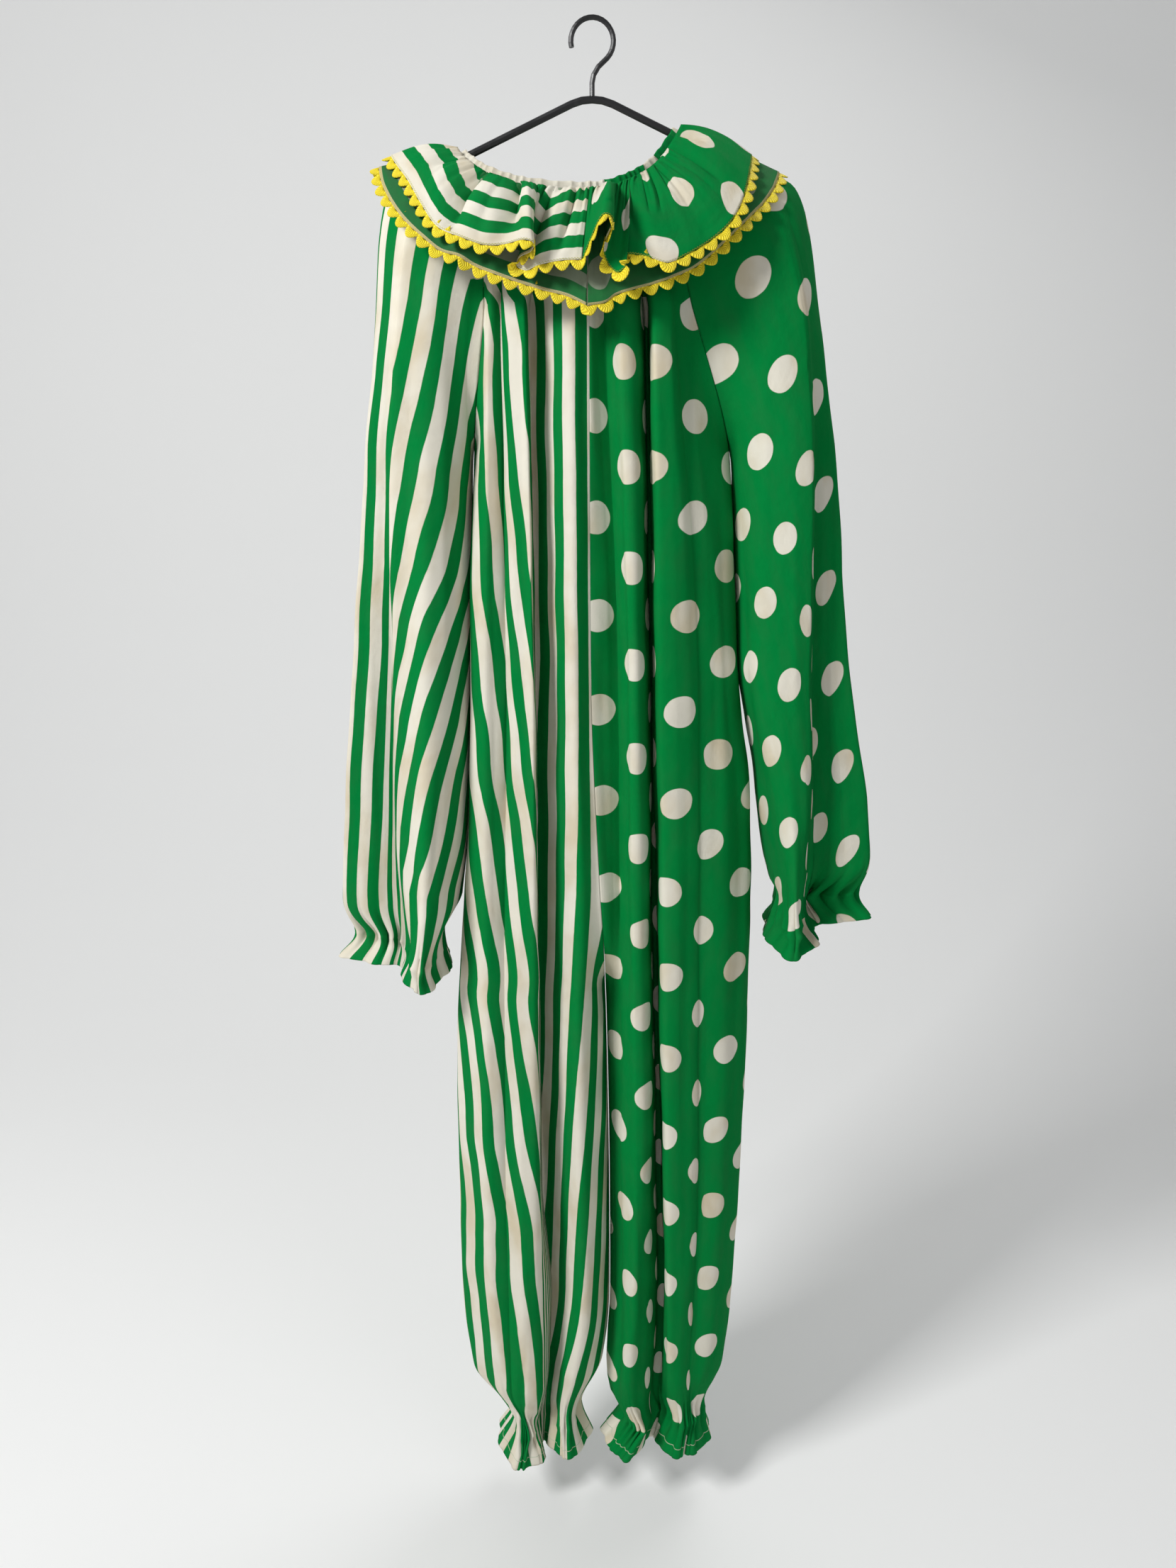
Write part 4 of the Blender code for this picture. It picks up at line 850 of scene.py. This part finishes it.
def sleeve(half, side, stations, folds, pinches, waist, creases, slips, lean, print_of):
    """A raglan sleeve: from its front seam out round the arm and back to its back seam."""
    name, outward = f"sleeve_{half.cloth}", -half.toward
    count = len(folds)
    spans = 2 * count
    marks = np.concatenate([[0], np.cumsum(SLEEVE_ROWS)])
    at = np.linspace(0, spans, spans * COLUMNS_EACH + 1)
    tops, downs, _ = neck_row(half, 2 + RAGLAN_TRIM, 4 - RAGLAN_TRIM, np.arange(spans + 1) / spans)
    tops = tops + downs * (BAND_HIGH + SEAM)

    def seam_point(row, top, facing):
        """A point of the seam that joins the sleeve to the body, and below the armpit closes the sleeve."""
        if row > RAGLAN_ROWS[-1]:
            z = blend(marks, [0] + [s.seam_z for s in stations], row)
            body = np.array((edge_at(side, z)[0], SEAM / 2 * facing, z))
        else:
            z = np.interp(row, RAGLAN_ROWS, RAGLAN_HEIGHTS)
            x, _, depth, _ = edge_at(side, z)
            low = np.array((x, facing * depth * (BACK_SHARE if facing > 0 else 1), z))
            body = top + (low - top) * min(1, row / RAGLAN_ROWS[0])
        _, apart, _, turn = edge_at(side, body[2])
        body[0] += outward * (SEAM + WALL * turn + max(0, apart - SNUG)) * min(1, row)
        return body

    def line_point(k, row):
        """Fold line k at a row: 0 is the front seam, count the outer edge, and the last the back seam."""
        is_front = k <= count
        near = min(k, spans - k)
        if near == 0:
            return seam_point(row, tops[k], -1 if is_front else 1)
        fold = folds[near - 1]
        facing = -1 if is_front else BACK_SHARE
        fall = (1 - near / count) ** CROWN_ROUND
        heights = [s.outer_z + (s.seam_z - s.outer_z) * fall for s in stations]
        drop = fold.drop if is_front else 0
        heights = heights[:-2] + [heights[-2] - drop, heights[-1] - drop]
        columns = (fold.x, [facing * depth for depth in fold.depth], heights)
        return np.array([blend(marks, [top, *column], row) for top, column in zip(tops[k], columns)])

    def sleeve_row(row):
        points = np.array([line_point(k, row) for k in range(spans + 1)])
        turn = edge_at(side, min(points[0][2], side[0].z))[3]
        flat = math.sqrt(max(0, 1 - turn * turn))
        slant = unit(points[1] - points[0])[2] * flat * (row < RAGLAN_ROWS[-1])
        return through(points, at, (outward * flat, -turn, slant), (-outward * flat, -turn, -slant))

    steps = [np.arange(n) / n * (b - a) + a for n, a, b in zip(SLEEVE_STEPS, marks, marks[1:])]
    rows = np.concatenate(steps + [[marks[-1]]])
    points = np.array([sleeve_row(row) for row in rows])
    loose = np.clip(rows - 1, 0, 1)[:, None, None]
    points = points + (pinched(points, pinches, at) - points) * loose
    points = waisted(points, waist, at, np.interp(rows, marks[-4:], SLEEVE_PULL))
    heights = points[..., 2].copy()
    out = outward_of(points, outward)
    across = level_arc(points, count * COLUMNS_EACH)
    cuff, hem = stations[-2].outer_z, stations[-1].outer_z
    lowered = (heights[-1] - hem) * np.interp(rows, marks[-4:-2], (0, 1))[:, None]
    hang = np.clip((rows - 1) / 3, 0, 1)[:, None] * np.interp(heights, (cuff, cuff + CUFF_CALM), (0, 1))
    gathered = gather_lift(SLEEVE_GATHERS, heights - lowered - cuff, cuff - hem, at / spans)
    gathered *= (rows > marks[4])[:, None]
    points = rumpled(points, out, at, across, creases, len(name), hang, gathered)
    across = level_arc(points, count * COLUMNS_EACH) * outward
    slipped = slip_of(slips, at, heights.mean(axis=1))
    cuff_row = int(np.argmax(rows > marks[-3] - PRINT_STOPS))
    across[cuff_row:], slipped[cuff_row:] = across[cuff_row], slipped[cuff_row]
    in_front = np.minimum(across, 0) + slipped[:, count * COLUMNS_EACH][:, None]
    down = TAKE_UP * (lean * in_front - heights)
    piece = cut_cloth(name, points, across + slipped, down, print_of, turned=outward < 0)
    lay_flat(piece, "sleeve", half)


SLEEVE_EDGE = 1.75 * MM  # from the outer edge to where a white stripe ends
SLEEVE_DOT = -40 * MM, 336 * MM  # a dot's centre on the flat sleeve
striped_sleeve = striped_cotton("striped cotton, sleeve", SLEEVE_EDGE)
dotted_sleeve = dotted_cotton("dotted cotton, sleeve", *SLEEVE_DOT)
sleeve(
    STRIPED, SIDE_RIGHT, STATIONS_RIGHT, SLEEVE_RIGHT, PINCHES_SLEEVE_RIGHT, WAIST_SLEEVE_RIGHT,
    CREASES_SLEEVE_RIGHT, SLIPS_SLEEVE_RIGHT, 0, striped_sleeve,
)
sleeve(
    DOTTED, SIDE_LEFT, STATIONS_LEFT, SLEEVE_LEFT, PINCHES_SLEEVE_LEFT, WAIST_SLEEVE_LEFT,
    CREASES_SLEEVE_LEFT, SLIPS_SLEEVE_LEFT, DOTS_LEAN, dotted_sleeve,
)


# The lower frill of the collar, in two halves, striped and dotted. A straight strip of cotton is gathered hard
# into the neck and opens into soft flutes at its hem, which is turned up and stitched. Only its edge shows
# under the upper frill.
# Hems are points (x, y, z) from the front centre round to the centre back.
LOWER_HEM_RIGHT = (
    (-5, -84, -268), (-24, -80, -259), (-44, -78, -254), (-68, -77, -247), (-92, -76, -239), (-112, -72, -231),
    (-126, -74, -223), (-144, -68, -217), (-162, -62, -203), (-178, -52, -188), (-192, -38, -170),
    (-204, -20, -148), (-209, 2, -128), (-200, 24, -150), (-176, 42, -186), (-150, 54, -214), (-122, 50, -228),
    (-98, 60, -238), (-70, 54, -244), (-44, 62, -248), (-16, 58, -248),
)
LOWER_HEM_LEFT = (
    (-5, -84, -268), (12, -82, -265), (22, -78, -258), (38, -78, -253), (58, -78, -248), (78, -76, -241),
    (98, -74, -232), (118, -70, -216), (136, -66, -199), (151, -56, -184), (165, -43, -169), (177, -26, -151),
    (184, 2, -133), (174, 24, -156), (152, 44, -188), (128, 54, -212), (102, 50, -226), (78, 60, -236),
    (50, 54, -243), (20, 62, -248), (-16, 58, -248),
)
FRILL_EACH = 14  # columns of points between one hem point and the next
FRILL_ROWS = 30
FRILL_TRIM = 0.04  # of the way from one hem point to the next, cut off where the halves meet
BULGE_LEAN = 0.4  # the bulge is fuller towards the neck
FOLD_SPREAD, FOLD_RISE = 3, 0.5  # the hem's folds run up to the neck: how wide they are, and how slowly they fade
FOLD_ENDS = (0, 1.2, 8, 11)  # hem points between which the folds start, are full, and end
GATHER_SHORT, GATHER_LONGER = 0.13, 0.2  # of the frill's depth: the shortest gathers, and how much the rest add
GATHER_LEFT = 0.14  # of a gather's depth, which fades out only at the hem
GATHER_SHARP = 0.8  # under 1, so the gathers have narrow valleys
SOFT = 0.5  # how far the frill's own unevenness stands out
PLEAT_LEAN = 0.5  # how far a pleat's sides overhang, as a share of its height
# How far down and out from the neck ring a frill starts, how far it bulges, its gathers, and their depth.
Frill = namedtuple("Frill", "down out bulge gathers gather_depth")
LOWER_FRILL = Frill(7, 1.6, 1, 36, 1.1)


def frill_surface(frill, half, hem):
    """The surface of half a frill: u runs along its hem points and t from the neck, 0, to the hem, 1."""
    top = next(i for i, point in enumerate(hem) if point[1] >= 0)
    lengths = length_to(hem)
    front, back = lengths[top], lengths[-1] - lengths[top]
    turns = np.minimum(lengths / front, 1) + np.maximum(0, lengths - front) / back

    def place(u, t):
        u, t = np.asarray(u, float), np.asarray(t, float)[:, None, None]
        low = through(hem, u)
        nearby = np.exp(-((u[:, None] - np.arange(len(hem))) / FOLD_SPREAD) ** 2)
        fold = low - nearby @ np.array(hem, float) / nearby.sum(axis=1, keepdims=True)
        fold = fold * np.interp(u, FOLD_ENDS, (0, 1, 1, 0))[:, None]
        along_neck = np.array([blend(range(len(hem)), turns, one) for one in u])
        point, down, out = neck_row(half, 0, 3, along_neck)
        high = point + down * frill.down + out * frill.out
        swell = frill.bulge * np.sin(math.pi * np.minimum(t, 1)) * (1 - BULGE_LEAN * t)
        return high + (low - high) * t + fold * (t ** FOLD_RISE - t) + out * swell, out, along_neck

    return place


def frill_half(which, frill, half, hem, pleats, right_side, wrong_side):
    """Half a collar frill, gathered at the neck, from the front centre round to the centre back."""
    surface = frill_surface(frill, half, hem)
    last = len(hem) - 1
    u = np.linspace(FRILL_TRIM, last - FRILL_TRIM, last * FRILL_EACH + 1)
    t = np.linspace(0, 1, FRILL_ROWS + 1)
    points, out, turn = surface(u, t)
    rim = length_to(points[-1])
    # The gathers are spaced and sized unevenly: each sine wanders round the neck at its own pace.
    phase = frill.gathers * turn / 2 + 0.7 * np.sin(5.1 * turn) + 0.35 * np.sin(19 * turn)
    ridge = 2 * np.abs(np.sin(math.pi * phase)) ** GATHER_SHARP - 1 + 0.35 * np.sin(4.3 * math.pi * phase)
    reach = GATHER_SHORT + GATHER_LONGER * np.abs(np.sin(13 * turn + 1))
    size = frill.gather_depth * (np.exp(-t[:, None] / reach) + GATHER_LEFT * (1 - t[:, None]))
    aside = np.zeros((len(t), len(u)))
    lift = size * ridge * (0.85 + 0.4 * np.sin(7.3 * turn + 1) * np.sin(17 * turn))
    for pleat in pleats:
        t_share = np.clip((t - pleat.top) / (pleat.bottom - pleat.top), 0, 1)
        strength = np.sin(math.pi * t_share) ** 0.8
        middle = pleat.at + pleat.lean * (t_share - 0.5)
        away = (u - middle[:, None]) / pleat.width
        height = pleat.out * strength[:, None] * np.exp(-away ** 2)
        lift += height
        aside += PLEAT_LEAN * away * height
    along_rim = unit(np.gradient(points, axis=1))
    t = t[:, None]
    soft = np.sin(rim / 11 + 4 * t) * np.sin(rim / 27 - 3 * t + 1) * t * (1 - t) * 4
    points = points + out * (lift + SOFT * soft)[..., None] + along_rim * aside[..., None]
    lengths = np.linalg.norm(points[-1] - points[0], axis=1)
    from_hem = (1 - t) * lengths
    facing = np.cross(points[1, 1] - points[0, 1], points[1, 2] - points[1, 1]) @ out[1]
    name = f"frill_{which}_{half.cloth}"
    piece = cut_cloth(name, points, from_hem, rim + 0 * from_hem, right_side, wrong_side, turned=facing < 0)
    lay_flat(piece, f"collar_{which}", half)


SCALLOP_PITCH = 15.5
BRAID_WIDE, BRAID_SWING = 9, 4  # the braid's width, and how far each wave swings to either side
BRAID_OUT = 1.2  # from the hem to the middle of the braid: its upper half is hidden behind the hem
BRAID_BEHIND = 0.9  # it lies behind the cloth
BRAID_THICK, BRAID_PUFF = 0.9, 0.25  # and how much thicker its middle is
PITCH_COLUMNS, BRAID_ROWS = 12, 6
BRAID_ROUND = 0.8  # under 1, so the waves have round crests and sharp dips
BRAID_EACH = 24  # points of the hem's line between one hem point and the next
BRAID_FROM = 0.94  # of the way down the frill: the braid's slope is taken from there to the hem
# The second yellow is painted shade, which colours the plait's grooves.
YELLOW, YELLOW_PAINTED_SHADE = (0.95, 0.80, 0.035), (0.72, 0.52, 0.012)
# The plaited thread: how fast it turns for each metre across and along the braid, and how far it stands out.
PLAIT_SLANT, PLAIT_TURN, PLAIT_HIGH = 1500.0, 3600.0, 0.00025


def braid_cotton():
    """Glossy yellow thread, plaited in V shapes along the braid, with painted shade in the plait's grooves."""
    made = Nodes("yellow rickrack", 0.6, specular=0.3)
    place = made.split(made.add("ShaderNodeUVMap", {}, uv_map="UVMap"))
    slant = made.math("MULTIPLY", made.math("ABSOLUTE", place[0]), PLAIT_SLANT)
    plait = made.math("SINE", made.math("ADD", slant, made.math("MULTIPLY", place[1], PLAIT_TURN)))
    # Painted shade: the colour darkens into the plait's grooves, where its bump is lowest.
    made.give("Base Color", made.mix(made.ramp(plait, -1.0, 0.6), YELLOW_PAINTED_SHADE, YELLOW))
    made.give("Normal", made.bump(plait, PLAIT_HIGH))
    return made.material


def rickrack(which, frill, hem_right, hem_left, right_side):
    """The braid along one frill's whole hem, from the centre back round the front to the centre back."""
    rims, ways, outs = [], [], []
    for half, hem in ((STRIPED, hem_right), (DOTTED, hem_left)):
        surface = frill_surface(frill, half, hem)
        last = len(hem) - 1
        u = np.linspace(FRILL_TRIM, last - FRILL_TRIM, last * BRAID_EACH + 1)
        points, out, _ = surface(u, [BRAID_FROM, 1])
        along = unit(np.gradient(points[1], axis=0))
        fall = points[1] - points[0]
        way = unit(fall - along * (fall * along).sum(axis=1, keepdims=True))
        face = np.cross(along, way)
        face = face * np.sign((face * out).sum(axis=1, keepdims=True))
        order = slice(None, None, -1) if not rims else slice(None)
        rims.append(points[1][order])
        ways.append(way[order])
        outs.append(face[order])
    rim, way, face = (np.concatenate(parts) for parts in (rims, ways, outs))
    length = length_to(rim)
    waves = round(length[-1] / SCALLOP_PITCH)
    stops = np.linspace(0, length[-1], waves * PITCH_COLUMNS + 1)
    rim, way, face = (
        np.stack([np.interp(stops, length, values) for values in part.T], axis=1) for part in (rim, way, face)
    )
    wave = BRAID_SWING * (2 * np.abs(np.sin(math.pi * stops / length[-1] * waves)) ** BRAID_ROUND - 1)
    row = np.linspace(-0.5, 0.5, BRAID_ROWS + 1)
    reach = BRAID_OUT + wave + BRAID_WIDE * row[:, None]
    puff = BRAID_PUFF * np.cos(math.pi * row)[:, None, None]
    points = rim + unit(way) * reach[..., None] + unit(face) * (puff - BRAID_BEHIND)
    width = (row * BRAID_WIDE)[:, None] + 0 * reach
    braid = cut_cloth(f"braid_{which}", points, width, stops + 0 * reach, right_side, thickness=BRAID_THICK)
    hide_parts(f"rickrack_{which}")
    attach(braid, "root")
    return braid


# Pleats of a frill: the hem point, where down the frill it starts and ends, how far it leans along the hem on
# the way and how wide it is, both in hem points, and how far it stands out (or in, if less than nothing).
Pleat = namedtuple("Pleat", "at top bottom lean width out")
LOWER_PLEATS_RIGHT = rows_of(
    Pleat,
    (2, 0.2, 1, 0.5, 0.5, -4), (4.5, 0.1, 1, 0.5, 0.5, -3), (6.5, 0.2, 1, 0.3, 0.4, 3),
    (9.5, 0.1, 1, -0.5, 0.5, -3),
)
LOWER_PLEATS_LEFT = rows_of(
    Pleat,
    (1.8, 0.2, 1, 0.5, 0.5, 4), (4.5, 0.1, 1, 0.5, 0.5, -3), (9.5, 0.1, 1, -0.5, 0.5, -2),
)
HEM_WHITE = 13 * MM  # the white hem band
DULL_AND_SHADE = 0.85  # the lower frill shows the print's paler wrong side, darkened further as painted shade where it lies under the upper frill
striped_frill = striped_cotton("striped cotton, frill", HEM_WHITE, hem=0)
dotted_frill = dotted_cotton("dotted cotton, frill", 12 * MM, 178 * MM, hem=0)
striped_wrong_side = striped_cotton("striped cotton, wrong side", 3 * MM, DULL_AND_SHADE, hem=2.5 * MM)
dotted_wrong_side = dotted_cotton("dotted cotton, wrong side", 31 * MM, 16 * MM, DULL_AND_SHADE, hem=2.5 * MM)
yellow_braid = braid_cotton()
lower_braid = rickrack("lower", LOWER_FRILL, LOWER_HEM_RIGHT, LOWER_HEM_LEFT, yellow_braid)
frill_half(
    "lower", LOWER_FRILL, STRIPED, LOWER_HEM_RIGHT, LOWER_PLEATS_RIGHT, striped_wrong_side, striped_wrong_side,
)
frill_half(
    "lower", LOWER_FRILL, DOTTED, LOWER_HEM_LEFT, LOWER_PLEATS_LEFT, dotted_wrong_side, dotted_wrong_side,
)


# The upper frill of the collar, in two halves like the lower one and lying on it. It is gathered as hard, stands
# up in a soft roll near the neck, and its flutes are deep where the two halves meet in front.
UPPER_HEM_RIGHT = (
    (-9, -92, -229), (-30, -92, -230), (-50, -88, -233), (-62, -83, -237), (-71, -78, -232), (-68, -81, -225),
    (-57, -92, -222), (-54, -103, -217), (-64, -102, -214), (-82, -92, -216), (-100, -89, -216), (-122, -82, -208),
    (-146, -70, -196), (-163, -52, -172), (-177, -32, -148), (-190, -14, -130), (-198, 4, -118), (-186, 26, -140),
    (-160, 48, -176), (-132, 66, -198), (-112, 62, -210), (-88, 74, -216), (-64, 66, -220), (-40, 76, -222),
    (-16, 70, -222),
)
UPPER_HEM_LEFT = (
    (-9, -92, -229), (-2, -101, -214), (9, -115, -196), (19, -110, -199), (12, -93, -213), (12, -86, -226),
    (22, -92, -240), (31, -95, -235), (32, -87, -224), (50, -92, -226), (70, -94, -232), (90, -88, -223),
    (111, -80, -210), (129, -75, -194), (142, -61, -170), (151, -36, -140), (156, 2, -117), (148, 30, -138),
    (124, 52, -172), (100, 68, -194), (78, 62, -206), (54, 74, -214), (30, 66, -218), (8, 76, -221),
    (-16, 70, -222),
)
UPPER_FRILL = Frill(6, 3.2, 9, 34, 2.8)
UPPER_PLEATS_RIGHT = rows_of(
    Pleat,
    (1.15, 0, 0.9, 0, 0.3, -7), (2.1, 0, 0.9, 0, 0.5, 5), (3.1, -0.1, 0.9, 0, 0.5, -9),
    (7.2, -0.2, 1, 0.3, 0.7, 11), (8.6, -0.25, 0.85, 0, 0.5, -14), (9.8, -0.1, 1, 0, 0.6, 7),
    (10.8, -0.2, 1, 0.3, 0.5, 10), (11.7, -0.2, 1, -0.35, 0.5, -14), (12.9, -0.1, 0.9, -0.4, 0.6, 6),
    (13.9, -0.2, 0.6, 0.3, 0.35, -7),
)
UPPER_PLEATS_LEFT = rows_of(
    Pleat,
    (2.4, -0.1, 0.7, 0, 0.5, 6), (4.6, -0.1, 0.7, 0, 0.4, -8), (8.2, -0.1, 1, 2.2, 0.5, -7),
    (9.5, 0, 0.5, -0.1, 0.16, -3.5), (10.05, 0, 0.5, -0.4, 0.16, 2.5), (10.6, 0, 0.5, -0.7, 0.16, -3.5),
    (11.5, 0, 0.35, -0.3, 0.16, -3), (12.6, 0.02, 0.9, 0.4, 0.6, 4), (14.0, 0.02, 0.75, -0.2, 0.22, -4),
    (15.0, 0, 0.35, 0.3, 0.2, -4),
)
upper_braid = rickrack("upper", UPPER_FRILL, UPPER_HEM_RIGHT, UPPER_HEM_LEFT, yellow_braid)
frill_half(
    "upper", UPPER_FRILL, STRIPED, UPPER_HEM_RIGHT, UPPER_PLEATS_RIGHT, striped_frill, striped_wrong_side,
)
frill_half(
    "upper", UPPER_FRILL, DOTTED, UPPER_HEM_LEFT, UPPER_PLEATS_LEFT, dotted_frill, dotted_wrong_side,
)


# The room: a pale floor just under the ankles, swept up behind the costume, and soft studio light. The strongest
# light comes from the upper left in front, so that the folds' hollows stay dark.
FLOOR_Z = -1.69
SWEEP_WIDE, SWEEP_NEAR, SWEEP_FAR, SWEEP_HIGH, SWEEP_TURN = 16, -5, 1.1, 6, 1.3
SWEEP_STEPS = 64
# Each light's name, place, size and power. All look at the middle of the costume.
LIGHTS = (("key", (-2.1, -1.7, 1.2), 0.8, 92), ("fill", (2.0, -2.4, 0.4), 1.6, 8), ("back", (0.9, 0.9, 1.5), 1.2, 16))
LOOK_AT = (0, 0, -0.75)
SKY, SKY_STRENGTH = (0.95, 0.97, 1.0, 1), 0.3
PAINT = (0.88, 0.88, 0.87, 1)


def sweep_place(along):
    """How far back and how high the sweep is, at a distance along it from its near edge."""
    flat = SWEEP_FAR - SWEEP_NEAR
    turn = min(max(along - flat, 0) / SWEEP_TURN, math.pi / 2)
    high = max(0, along - flat - SWEEP_TURN * math.pi / 2)
    back = SWEEP_NEAR + min(along, flat) + SWEEP_TURN * math.sin(turn)
    return back, FLOOR_Z + SWEEP_TURN * (1 - math.cos(turn)) + high


bpy.ops.mesh.primitive_grid_add(x_subdivisions=1, y_subdivisions=SWEEP_STEPS, size=2)
floor = bpy.context.object
floor.name = "floor"
length = SWEEP_FAR - SWEEP_NEAR + SWEEP_TURN * math.pi / 2 + SWEEP_HIGH
for vertex in floor.data.vertices:
    back, high = sweep_place((vertex.co.y + 1) / 2 * length)
    vertex.co = (vertex.co.x * SWEEP_WIDE / 2, back, high)
bpy.ops.object.shade_smooth()
paint = Nodes("pale floor", 0.8, specular=0.1)
paint.shader.inputs["Base Color"].default_value = PAINT
floor.data.materials.append(paint.material)
floor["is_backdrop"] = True

for name, place, size, power in LIGHTS:
    bpy.ops.object.light_add(type="AREA", location=place)
    lamp = bpy.context.object
    lamp.name = name
    lamp.data.size, lamp.data.energy = size, power
    lamp.rotation_euler = (Vector(LOOK_AT) - Vector(place)).to_track_quat("-Z", "Y").to_euler()

world = bpy.data.worlds.new("pale room")
world.use_nodes = True
background = world.node_tree.nodes["Background"]
background.inputs["Color"].default_value = SKY
background.inputs["Strength"].default_value = SKY_STRENGTH
bpy.context.scene.world = world


low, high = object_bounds()
